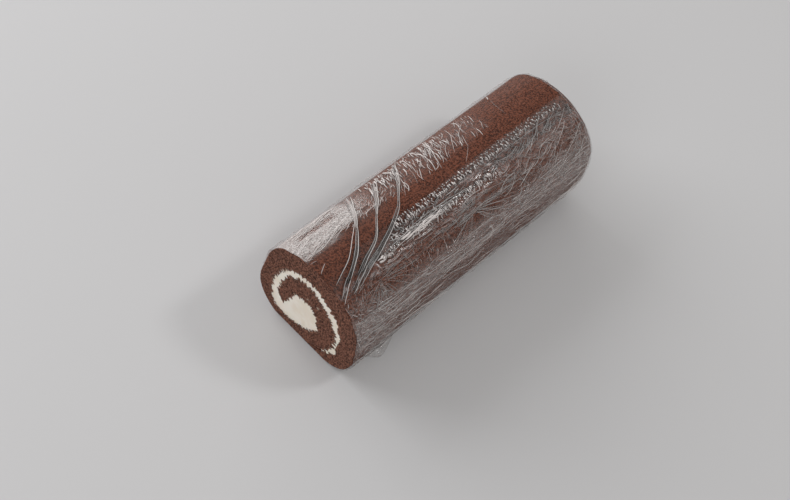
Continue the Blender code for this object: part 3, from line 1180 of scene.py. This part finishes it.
    def _ridges(self, material: bpy.types.Material, along: np.ndarray, turn: np.ndarray,
                height: np.ndarray) -> bpy.types.Object:
        """Make every crease a fine three-sided ridge, pointed at both ends, out of one long grid."""
        strips = [self._ridge_map(crease, path) for crease, path in self._paths(along, turn)]
        rows, columns, crests, milks = (np.vstack(parts) for parts in zip(*strips))
        base = self._height_at(rows, columns, along, turn, height) + self.wall / MM
        points = self.places(rows, columns, base + crests)
        points[..., 2] = np.maximum(points[..., 2], 0.2 * MM)
        cage = bmesh.new()
        milk_layer = cage.verts.layers.float.new("milk_and_sheen")
        bmesh.ops.create_grid(cage, x_segments=len(points) - 1, y_segments=3, size=0.5)
        cage.verts.index_update()
        cells = [self._cell(vert.co, len(points), 4) for vert in cage.verts]
        starts = set(np.cumsum([len(strip[0]) for strip in strips]).tolist())
        between = [face for face in cage.faces if max(cells[vert.index][0] for vert in face.verts) in starts]
        for vert, (row, column) in zip(cage.verts, cells):
            vert[milk_layer] = milks[row, column]
            vert.co = points[row, column]
        bmesh.ops.delete(cage, geom=between, context="FACES")
        bmesh.ops.remove_doubles(cage, verts=cage.verts, dist=5 * WELD)
        bmesh.ops.recalc_face_normals(cage, faces=cage.faces)
        return finished_piece(f"{self.name}_creases", cage, (material,), 180.0)

    def _paths(self, along: np.ndarray, turn: np.ndarray) -> Iterator[tuple[Crease, np.ndarray]]:
        """Yield each crease with the part of its line that lies on the sheet."""
        for crease in self.creases():
            path = crease.path()
            inside = (path[:, 0] > along[0]) & (path[:, 0] < along[-1])
            inside &= (path[:, 1] > turn[0] * ROUND_MM) & (path[:, 1] < turn[-1] * ROUND_MM)
            if np.count_nonzero(inside) > 2:
                yield crease, path[inside]

    @staticmethod
    def _ridge_map(crease: Crease, path: np.ndarray) -> tuple[np.ndarray, ...]:
        """Lay out one ridge on the map.

        Args:
            crease: The crease.
            path: Its line, as millimetres along the roll and round it.

        Returns:
            Millimetres along, turn degrees, height in millimetres and milk, each with a row for each step of the
            line and a column for one foot, the crest, the other foot and the first again.
        """
        run = np.gradient(path, axis=0)
        run /= np.linalg.norm(run, axis=1)[:, None]
        share = np.linspace(0.0, 1.0, len(path))
        taper = np.sqrt(np.clip(4.0 * share * (1.0 - share), 0.0, 1.0))
        foot = 0.5 * crease.width * taper
        level = -0.04 * taper
        crest = 0.55 * min(crease.width, 0.9) * taper ** 2
        sideways = np.stack((-foot, 0.0 * foot, foot, -foot), axis=1)
        rows = path[:, :1] - run[:, 1:] * sideways
        columns = (path[:, 1:] + run[:, :1] * sideways) / ROUND_MM
        milk_and_sheen = np.tile((0.0, crease.milk_and_sheen, 0.0, 0.0), (len(path), 1))
        return rows, columns, np.stack((level, crest, level, level), axis=1), milk_and_sheen

    @staticmethod
    def _height_at(rows: np.ndarray, columns: np.ndarray, along: np.ndarray, turn: np.ndarray,
                   height: np.ndarray) -> np.ndarray:
        """Sheet's height at any places of the map."""
        row = np.interp(rows, along, np.arange(len(along)))
        column = np.interp(columns, turn, np.arange(len(turn)))
        low_row = np.minimum(row.astype(int), len(along) - 2)
        low_column = np.minimum(column.astype(int), len(turn) - 2)
        row, column = row - low_row, column - low_column
        near = height[low_row, low_column] * (1.0 - column) + height[low_row, low_column + 1] * column
        far = height[low_row + 1, low_column] * (1.0 - column) + height[low_row + 1, low_column + 1] * column
        return near * (1.0 - row) + far * row

    @staticmethod
    def _cell(place: Vector, rows: int, columns: int) -> tuple[int, int]:
        """Row and column of a point of the unit grid."""
        return round((place.x + 0.5) * (rows - 1)), round((place.y + 0.5) * (columns - 1))


@dataclass
class FarClosure(FilmSheet):
    """The film's far end: it goes over the rounded rim and is gathered in pleats to a knot in the middle."""

    gather: float = 33.0
    knot_height: float = 2.4
    knot_radius: float = 4.5
    overlap_turns: tuple[float, float] = (98.0, 247.0)
    overlap_lift: float = 0.35 * MM

    def reach(self) -> float:
        """Millimetres from the start of the rounding to the middle."""
        return self.round_off / MM * math.pi / 2.0 + self.gather

    def places(self, along: np.ndarray, turn: np.ndarray, height: np.ndarray) -> np.ndarray:
        """Points of the closure, round the rim and in to the middle."""
        arc = self.round_off / MM * math.pi / 2.0
        lean = np.clip(along / arc, 0.0, 1.0) * math.pi / 2.0
        inwards = np.clip((along - arc) / self.gather, 0.0, 1.0)
        left, up = self._outwards(turn)
        doubled = hump(turn, sum(self.overlap_turns) / 2.0, np.ptp(self.overlap_turns) / 2.0 + 2.0)
        lift = self.lift + (self.overlap_lift - self.lift) * np.minimum(1.0, doubled * 6.0)
        radius = self.section.film.radius(turn)
        across = radius * np.cos(np.radians(turn)) - self.round_off * (1.0 - np.cos(lean)) * left
        over = radius * np.sin(np.radians(turn)) - self.round_off * (1.0 - np.cos(lean)) * up
        from_middle = np.hypot(across, over) * (1.0 - inwards) / MM
        knot = self.knot_height * np.exp(-((from_middle / self.knot_radius) ** 2))
        lifted = lift + (height * (0.25 + 0.75 * (1.0 - inwards)) + knot * (inwards > 0.0)) * MM
        x = self.section.far_end - self.round_off * (1.0 - np.sin(lean)) + lifted * np.sin(lean)
        y = across * (1.0 - inwards) + lifted * np.cos(lean) * left
        z = MIDDLE_HEIGHT + over * (1.0 - inwards) + lifted * np.cos(lean) * up
        return np.stack((x, y, z), axis=-1)


@dataclass
class FlapSheet(FilmSheet):
    """Small corner of the hem that lies out on the surface beside the cut end."""

    start_at: float = 19.0
    long: float = 29.0
    root: float = -29.5 * MM
    greatest: float = 10.0 * MM
    least: float = 4.0 * MM
    tip_share: float = 0.30
    root_height: float = 2.8 * MM
    tip_height: float = 0.25 * MM

    def grid(self) -> tuple[np.ndarray, np.ndarray]:
        """Millimetres along the roll, and millimetres outwards given as turn degrees."""
        rows = round(self.long / self.cells[0])
        columns = round(self.greatest / MM / self.cells[1])
        wide = self.greatest / MM / ROUND_MM
        return np.linspace(self.start_at, self.start_at + self.long, rows + 1), np.linspace(0.0, wide, columns + 1)

    def places(self, along: np.ndarray, turn: np.ndarray, height: np.ndarray) -> np.ndarray:
        """Points of the flap, from under the hem down to its free edge."""
        share = (along - self.start_at) / self.long
        rising = smooth_step(0.0, self.tip_share, share) * smooth_step(1.0, self.tip_share, share)
        edge = self.least + (self.greatest - self.least) * rising
        out = turn * ROUND_MM * MM / self.greatest
        slope = self.root_height + (self.tip_height - self.root_height) * smooth_step(0.0, 0.8, out)
        x = self.section.cut_end + along * MM
        z = slope + np.maximum(height, 0.0) * MM * (0.3 + 0.7 * (1.0 - out))
        return np.stack((x, self.root - edge * out, z), axis=-1)


@dataclass
class ClingWrap:
    """All of the film: a layer over the top, a doubled one on the right side, and the gathered far end."""

    section: RollSection

    def build(self) -> list[bpy.types.Object]:
        """Build every sheet of the film."""
        wrap = FilmSheet(self.section, "film_wrap", (-126.0, 112.0), (0.88, 0.86), 0.05 * MM, 11,
                         self._top_zones(), self._top_patterns(), self._top_creases())
        overlap = FilmSheet(self.section, "film_overlap", (92.0, 247.0), (0.66, 0.72), 0.30 * MM, 23,
                            self._side_zones(), self._side_patterns(), self._side_creases())
        closure = FarClosure(self.section, "film_end", (0.0, 360.0), (0.9, 0.85), 0.05 * MM, 37,
                             (Zone((4.0, 50.0), (-10.0, 370.0), milk_and_sheen=0.06, streaks=0.8),), self._pleats())
        flap = FlapSheet(self.section, "film_flap", (0.0, 1.0), (0.5, 0.5), 0.0, 41,
                         (Zone((0.0, 60.0), (-9.0, 30.0), milk_and_sheen=0.24, crinkle=0.8, streaks=0.6),),
                         (Strokes((18.0, 50.0), (0.0, 15.0), 30, (3.0, 9.0), 20.0, 40.0),))
        walls = (ClingFilm().material(), ClingFilm().inside())
        ridge = FilmCrease().material()
        return [piece for sheet in (wrap, overlap, closure, flap) for piece in sheet.build(walls, ridge)]

    @staticmethod
    def _top_zones() -> list[Zone]:
        """Looks of the layer over the top: loose beside the cut end, clinging towards the far end. The milky patch
        beside the cut end is partly the film's haze and partly a painted reflection of the window.
        """
        return [
            Zone((58.0, 300.0), (40.0, 130.0), cling=1.0, soft_along=8.0),
            Zone((-10.0, 300.0), (82.0, 130.0), cling=0.9),
            # Zones of the milky patch beside the cut end, up to about 47 mm along: the film's own haze, with a painted
            # reflection of the window in it.
            Zone((-10.0, 46.0), (57.5, 73.0), milk_and_sheen=0.52, crinkle=0.5, streaks=0.8, swell=0.3, soft_turn=2.0,
                 soft_along=5.0),
            Zone((-10.0, 26.0), (62.0, 78.0), milk_and_sheen=0.32, crinkle=0.4, streaks=0.8, soft_turn=2.5, soft_along=6.0),
            Zone((44.0, 150.0), (44.0, 76.0), milk_and_sheen=0.06, soft_turn=6.0),
            Zone((-10.0, 46.0), (40.0, 52.0), milk_and_sheen=0.40, crinkle=0.5, streaks=0.8, swell=0.3, soft_turn=2.0,
                 soft_along=5.0),
            Zone((-10.0, 10.0), (40.0, 71.0), milk_and_sheen=0.46, streaks=0.8, soft_turn=3.0, soft_along=3.0),
            Zone((37.0, 47.0), (46.0, 62.0), milk_and_sheen=0.38, streaks=0.8, soft_turn=3.0, soft_along=3.0),
            Zone((-10.0, 200.0), (14.0, 34.0), milk_and_sheen=0.03, streaks=0.3, swell=0.9, soft_turn=8.0),
            Zone((-10.0, 300.0), (-130.0, 20.0), milk_and_sheen=0.03, crinkle=0.35, streaks=0.6, soft_turn=15.0),
        ]

    @staticmethod
    def _top_creases() -> list[Crease]:
        """Long creases that sweep over the top from beside the cut end, and the strongest short ones, two of which are
        whitened as painted glints.
        """
        return [
            Crease(((3, 108), (10, 103.5), (20, 97), (30, 86), (38, 77), (45, 68)), 0.75, 0.3, 0.85),
            Crease(((7, 77), (14, 77), (22, 74), (32, 69.5), (42, 68)), 0.8, 0.3, 0.75),
            Crease(((44, 74), (54, 74), (62, 73), (69, 69)), 0.5, 0.2, 0.5),
            Crease(((0, 95), (3, 92), (8, 88)), 0.6, 0.2, 0.7),
            Crease(((76, 76), (80, 64), (83, 50)), 0.6, 0.2, 0.6),
            Crease(((78, 73), (86, 59), (92, 44)), 0.7, 0.2, 0.65),
            Crease(((74, 84), (79, 76), (84, 70)), 0.5, 0.2, 0.5),
            Crease(((101, 82), (104, 72), (105, 60), (104, 50), (107, 38)), 0.9, 0.3, 0.85),
            Crease(((105, 84), (108, 73), (111, 65), (115, 53), (120, 42)), 0.8, 0.3, 0.8),
            Crease(((106, 70), (110, 62), (112, 56)), 1.2, 0.2, 0.6),
            Crease(((112, 72), (117, 66), (117.5, 56)), 0.6, 0.2, 0.6),
            Crease(((120, 78), (126, 67), (130, 60), (133, 48)), 0.7, 0.2, 0.65),
            Crease(((127, 76), (133, 66), (140, 59), (146, 54)), 0.6, 0.2, 0.55),
            Crease(((119, 92), (125, 86), (131, 79)), 0.5, 0.2, 0.4),
            # Painted glints: two short creases whitened where the film catches the light.
            Crease(((171, 51), (173, 47), (175, 43)), 1.1, 0.2, 0.9),
            Crease(((149, 54), (150.5, 49)), 0.7, 0.2, 0.6),
            Crease(((166, 78), (168, 62), (172, 52)), 0.5, 0.15, 0.25),
        ]

    @staticmethod
    def _top_patterns() -> list[Pattern]:
        """Folds that sweep over the top from beside the cut end, and its strewn creases."""
        return [
            Ribbon(((0, 122), (8, 113), (20, 103), (28, 94), (35, 84), (41, 74)), (2.2, 1.0), 0.85, 0.12),
            Ribbon(((37, 81), (42, 72), (47, 61), (51, 50), (54, 42)), (0.6, 5.2), 0.95, 0.45),
            Ribbon(((15, 114), (30, 104), (42, 96), (52, 82), (57, 75)), (1.8, 0.7), 0.8, 0.12),
            Ribbon(((52, 82), (58, 74), (64, 64), (69, 55), (73, 48)), (0.8, 3.4), 0.9, 0.4),
            Ribbon(((22, 113), (40, 105), (55, 96), (65, 88), (72, 79)), (2.4, 1.2), 0.75, 0.14),
            Ribbon(((68, 84), (74, 76), (80, 67), (85, 57), (92, 45), (97, 36)), (1.0, 2.2), 0.9, 0.15),
            # Streaks along the milky patch beside the cut end, whitened partly as a painted reflection of the window.
            Strokes((0.0, 44.0), (58.0, 75.0), 34, (8.0, 24.0), -11.0, 5.0, 0.5, 0.2, 0.8, 0.03),
            Strokes((0.0, 44.0), (44.0, 53.0), 26, (8.0, 24.0), -5.0, 4.0, 0.5, 0.2, 0.7, 0.03),
            Strokes((62.0, 124.0), (47.0, 64.0), 130, (3.0, 8.0), -74.0, 12.0, 0.75, 0.2, 0.9),
            Strokes((74.0, 150.0), (50.0, 78.0), 90, (4.0, 11.0), -66.0, 12.0, 0.6, 0.2, 0.75),
            Strokes((0.0, 54.0), (46.0, 75.0), 46, (2.0, 7.0), -35.0, 22.0, 0.5, 0.2, 0.7),
            Strokes((-1.0, 5.0), (70.0, 84.0), 10, (4.0, 8.0), 0.0, 8.0, 0.45, 0.1, 0.6),
            Strokes((44.0, 78.0), (56.0, 77.0), 60, (2.0, 7.0), -52.0, 20.0, 0.5, 0.15, 0.6),
            Strokes((96.0, 134.0), (62.0, 79.0), 40, (3.0, 8.0), -64.0, 14.0, 0.5, 0.15, 0.6),
            Strokes((0.0, 204.0), (-120.0, 34.0), 260, (4.0, 24.0), 15.0, 35.0, 0.5, 0.2, 0.4),
        ]

    @staticmethod
    def _side_zones() -> list[Zone]:
        """Looks of the doubled layer on the right side."""
        return [
            Zone((-10.0, 300.0), (80.0, 95.0), cling=1.34, soft_turn=2.0),
            Zone((-10.0, 30.0), (80.0, 114.0), cling=1.34, soft_turn=6.0, soft_along=16.0),
            Zone((-10.0, 300.0), (92.0, 106.0), cling=0.6, soft_turn=3.0),
            Zone((100.0, 300.0), (93.0, 104.0), milk_and_sheen=0.07, soft_turn=3.0, soft_along=20.0),
            Zone((34.0, 300.0), (104.0, 145.0), crinkle=0.18, streaks=0.25),
            # Highlight band: its fine lines add white that is partly a painted highlight.
            Zone((36.0, 128.0), (109.0, 116.0), crinkle=0.6, streaks=0.4),
            Zone((-10.0, 300.0), (117.0, 136.0), cling=0.62, soft_turn=2.5),
            Zone((132.0, 300.0), (100.0, 136.0), cling=0.70, soft_turn=3.0, soft_along=10.0),
            Zone((-10.0, 34.0), (100.0, 136.0), cling=0.55, soft_turn=3.0, soft_along=6.0),
            Zone((30.0, 300.0), (137.0, 146.0), milk_and_sheen=0.07, soft_turn=3.0),
            Zone((-10.0, 300.0), (141.0, 163.0), milk_and_sheen=0.13, streaks=0.9, soft_turn=4.0),
            Zone((160.0, 300.0), (134.0, 200.0), milk_and_sheen=0.15, soft_turn=6.0, soft_along=16.0),
            Zone((-10.0, 46.0), (158.0, 188.0), milk_and_sheen=0.13, soft_turn=6.0, soft_along=16.0),
            Zone((-10.0, 300.0), (160.0, 260.0), milk_and_sheen=0.02, crinkle=0.3, streaks=0.8),
            Zone((-10.0, 300.0), (166.0, 260.0), cling=0.75, soft_turn=4.0),
            Zone((150.0, 300.0), (106.0, 200.0), milk_and_sheen=0.03, crinkle=0.3, streaks=0.7, soft_along=20.0),
            Zone((-10.0, 30.0), (128.0, 245.0), milk_and_sheen=0.02, crinkle=0.8, streaks=0.5),
        ]

    @staticmethod
    def _side_creases() -> list[Crease]:
        """Single long creases of the doubled layer; those in the highlight band and along the hem are whitened partly
        as painted highlights and glints.
        """
        return [
            Crease(((123, 104), (140, 102.8), (160, 103), (178, 103.5), (198, 106)), 0.5, 0.15, 0.45),
            # Creases in the highlight band, whitened partly as a painted highlight.
            Crease(((38, 114), (55, 112), (75, 109), (92, 108)), 0.7, 0.2, 0.8),
            Crease(((36, 112), (48, 109), (60, 108), (80, 108)), 0.6, 0.2, 0.6),
            Crease(((52, 109), (70, 106), (95, 107), (112, 112)), 0.5, 0.2, 0.6),
            Crease(((140, 136), (148, 131), (159, 126)), 0.8, 0.2, 0.75),
            Crease(((144, 134), (152, 128), (158, 125.5)), 0.6, 0.2, 0.6),
            Crease(((176, 143), (188, 135), (198, 127), (203, 122)), 0.7, 0.2, 0.65),
            Crease(((176, 129), (186, 121), (194, 113)), 0.7, 0.2, 0.6),
            Crease(((150, 142), (165, 141), (178, 140)), 0.6, 0.2, 0.6),
            Crease(((100, 127), (112, 134), (126, 141), (150, 149)), 0.6, 0.2, 0.5),
            # Creases along the hem, whitened partly as painted glints.
            Crease(((26, 188), (40, 184), (56, 188), (70, 196), (86, 200)), 0.8, 0.3, 0.9),
            Crease(((36, 178), (44, 175), (54, 174)), 0.9, 0.3, 0.8),
            Crease(((58, 178), (64, 174), (72, 172)), 0.8, 0.3, 0.8),
            Crease(((60, 196), (78, 206), (96, 214)), 0.6, 0.25, 0.7),
            Crease(((172, 196), (184, 190), (196, 186), (203, 184)), 0.9, 0.3, 0.8),
            Crease(((182, 178), (192, 176), (201, 172)), 0.8, 0.3, 0.8),
        ]

    @staticmethod
    def _side_patterns() -> list[Pattern]:
        """Strewn creases of the doubled layer; the white strokes of the band between turn 109 and 116 are a painted
        highlight.
        """
        return [
            Rungs((49.0, 198.0), (99.4, 98.8), 1.9, 2.3, 98.0, 1.1, 0.3, 1.0),
            Rungs((52.0, 190.0), (95.6, 95.4), 2.2, 1.5, 84.0, 1.0, 0.25, 0.85),
            Strokes((54.0, 126.0), (94.5, 100.5), 44, (1.0, 3.0), 90.0, 26.0, 0.8, 0.3, 0.95),
            Strokes((120.0, 198.0), (93.0, 103.0), 60, (1.5, 5.0), 60.0, 50.0, 0.5, 0.2, 0.5),
            # White strokes of the highlight band: a painted highlight on the crinkled film.
            Strokes((78.0, 130.0), (110.5, 115.5), 52, (1.8, 4.4), 95.0, 12.0, 0.8, 0.3, 1.0),
            Strokes((34.0, 44.0), (111.5, 114.5), 14, (2.0, 5.0), -15.0, 15.0, 1.2, 0.3, 1.0),
            Strokes((48.0, 60.0), (101.0, 112.0), 12, (2.0, 6.0), 70.0, 40.0, 0.8, 0.3, 0.8),
            Rungs((53.0, 190.0), (100.5, 99.5), 3.4, 2.6, 74.0, 0.7, 0.25, 0.8),
            # More white strokes of the highlight band: a painted highlight.
            Strokes((34.0, 130.0), (109.5, 115.0), 90, (1.0, 3.0), 88.0, 24.0, 0.7, 0.25, 0.95),
            Strokes((54.0, 82.0), (109.0, 113.0), 26, (5.0, 12.0), 0.0, 6.0, 1.0, 0.25, 1.0),
            Strokes((38.0, 112.0), (102.0, 119.0), 50, (5.0, 18.0), -2.0, 6.0, 0.5, 0.2, 0.6),
            Strokes((48.0, 90.0), (101.0, 108.0), 40, (1.5, 4.0), 20.0, 45.0, 0.6, 0.25, 0.7),
            Ribbon(((0, 123), (5, 117), (10, 111), (14, 108)), (2.4, 2.0), 0.85, 0.06),
            Ribbon(((8, 121), (16, 115), (24, 110), (29, 105)), (2.0, 1.6), 0.6, 0.05),
            Ribbon(((14, 119), (24, 113), (34, 108.5), (42, 104)), (2.2, 1.8), 0.6, 0.05),
            Fan((103.0, 126.0), (-150.0, -30.0), (8.0, 16.0), 9),
            Fan((103.0, 126.0), (4.0, 50.0), (14.0, 46.0), 14, milk_and_sheen=0.45),
            Fan((103.0, 126.0), (120.0, 184.0), (10.0, 40.0), 14),
            Fan((28.0, 125.0), (60.0, 150.0), (8.0, 22.0), 14),
            Fan((28.0, 125.0), (-20.0, 40.0), (8.0, 30.0), 9),
            Strokes((48.0, 82.0), (130.0, 138.0), 26, (3.0, 5.5), 97.0, 8.0, 0.5, 0.2, 0.4),
            Strokes((4.0, 196.0), (139.0, 162.5), 320, (4.0, 15.0), 0.5, 6.0, 0.34, 0.2, 0.62, 0.03),
            Strokes((10.0, 160.0), (143.0, 161.0), 30, (18.0, 40.0), 0.0, 2.0, 0.36, 0.2, 0.6, 0.015),
            Strokes((30.0, 140.0), (118.0, 130.0), 90, (6.0, 26.0), 0.0, 6.0, 0.45, 0.15, 0.35, 0.03),
            Strokes((130.0, 204.0), (104.0, 152.0), 120, (5.0, 20.0), -24.0, 12.0, 0.5, 0.2, 0.42),
            Strokes((130.0, 204.0), (104.0, 160.0), 80, (5.0, 16.0), 22.0, 22.0, 0.5, 0.2, 0.38),
            Strokes((192.0, 204.0), (100.0, 190.0), 50, (4.0, 12.0), 80.0, 14.0, 0.5, 0.2, 0.4),
            Strokes((0.0, 32.0), (134.0, 172.0), 140, (2.0, 6.5), 55.0, 30.0, 0.55, 0.25, 0.5),
            Strokes((0.0, 28.0), (116.0, 138.0), 70, (3.0, 9.0), -48.0, 18.0, 0.45, 0.15, 0.35),
            Strokes((0.0, 204.0), (160.0, 243.0), 260, (5.0, 26.0), 6.0, 18.0, 0.6, 0.3, 0.4),
            Strokes((0.0, 40.0), (165.0, 243.0), 80, (3.0, 12.0), 60.0, 30.0, 0.6, 0.3, 0.45),
            Strokes((30.0, 204.0), (104.0, 142.0), 260, (1.5, 6.0), 40.0, 60.0, 0.4, 0.15, 0.32),
        ]

    @staticmethod
    def _pleats() -> list[Pattern]:
        """Folds that run from the rim to the middle of the far end."""
        return [
            Strokes((18.0, 26.0), (0.0, 360.0), 64, (16.0, 34.0), 0.0, 7.0, 1.1, 0.9, 0.45),
            Strokes((4.0, 36.0), (0.0, 360.0), 90, (5.0, 14.0), 0.0, 25.0, 0.6, 0.4, 0.4),
        ]


@dataclass
class Studio:
    """Camera of the photo's view, soft lights and a pale floor."""

    camera_place: Vector = field(default_factory=lambda: Vector((-0.4226, -0.2292, 0.7126)))
    tilt_down: float = 56.6
    camera_roll: float = 17.6
    roll_heading: float = 59.7
    lens: float = 62.5
    floor_size: float = 6.0

    def camera(self) -> None:
        """Place the camera where the photo was taken from."""
        tilt, lean, heading = (math.radians(value) for value in (self.tilt_down, self.camera_roll, self.roll_heading))
        ahead = Vector((0.0, math.cos(tilt), -math.sin(tilt)))
        level_up = Vector((0.0, math.sin(tilt), math.cos(tilt)))
        right = math.cos(lean) * Vector((1.0, 0.0, 0.0)) + math.sin(lean) * level_up
        up = -math.sin(lean) * Vector((1.0, 0.0, 0.0)) + math.cos(lean) * level_up
        turn = Matrix.Rotation(-heading, 3, "Z")
        axes = Matrix((turn @ right, turn @ up, turn @ -ahead)).transposed()
        data = bpy.data.cameras.new("photo_camera")
        data.lens = self.lens
        data.sensor_width = 36.0
        data.clip_start = 0.01
        item = bpy.data.objects.new("photo_camera", data)
        item.matrix_world = Matrix.Translation(self.camera_place) @ axes.to_4x4()
        bpy.context.scene.collection.objects.link(item)
        bpy.context.scene.camera = item

    def floor(self) -> None:
        """Lay the floor under the roll."""
        cage = bmesh.new()
        bmesh.ops.create_grid(cage, x_segments=1, y_segments=1, size=self.floor_size / 2)
        item = finished_piece("floor", cage, (PaleFloor().material(),))
        item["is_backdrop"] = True

    @staticmethod
    def light(name: str, place: tuple[float, float, float], size: tuple[float, float], watts: float,
              color: Color = (1.0, 1.0, 1.0)) -> None:
        """Hang a rectangular soft light that faces the roll.

        Args:
            name: Name of the light.
            place: Where it hangs.
            size: Its width and height.
            watts: Its power.
            color: Its colour.
        """
        data = bpy.data.lights.new(name, "AREA")
        data.shape = "RECTANGLE"
        data.size, data.size_y = size
        data.energy = watts
        data.color = color
        item = bpy.data.objects.new(name, data)
        item.location = place
        item.rotation_mode = "QUATERNION"
        item.rotation_quaternion = (Vector((0.0, 0.0, 0.03)) - Vector(place)).to_track_quat("-Z", "Y")
        bpy.context.scene.collection.objects.link(item)

    def build(self) -> None:
        """Set up the camera, lights, sky and floor."""
        self.camera()
        self.floor()
        self.light("window", (-0.35, 1.30, 0.75), (1.3, 0.9), 15.0, (0.98, 0.985, 1.0))
        self.light("far_window", (0.75, 1.25, 0.35), (0.9, 0.7), 5.0, (1.0, 0.98, 0.96))
        self.light("fill", (-1.10, -0.35, 0.70), (1.0, 0.7), 4.0)
        self.light("overhead", (0.61, -0.48, 1.03), (0.21, 0.21), 3.2)
        world = bpy.data.worlds.new("soft_room")
        world.use_nodes = True
        world.node_tree.nodes["Background"].inputs[0].default_value = (0.90, 0.87, 0.85, 1.0)
        world.node_tree.nodes["Background"].inputs[1].default_value = 0.42
        bpy.context.scene.world = world
        bpy.context.scene.view_settings.view_transform = "Standard"


def corners(bounds: tuple[Vector, Vector]) -> list[list[float]]:
    """Lowest and highest corner as plain lists."""
    return [list(corner) for corner in bounds]


def report(piece: bpy.types.Object) -> None:
    """Log a finished piece and its size in faces."""
    LOG.info("%s: %d faces", piece.name, len(piece.data.polygons))


def main() -> None:
    """Build every piece in order, log each piece's faces, and measure the bounds before and after."""
    logging.basicConfig(level=logging.INFO, format="%(name)s: %(message)s")
    cad_box = corners(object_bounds())
    Studio().build()
    section = RollSection.from_frame()
    report(SpongeRoll(section).build())
    report(CreamFilling(section).build())
    for sheet in ClingWrap(section).build():
        report(sheet)
    {"cad": cad_box, "visual": corners(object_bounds())}


if __name__ == "__main__":
    main()
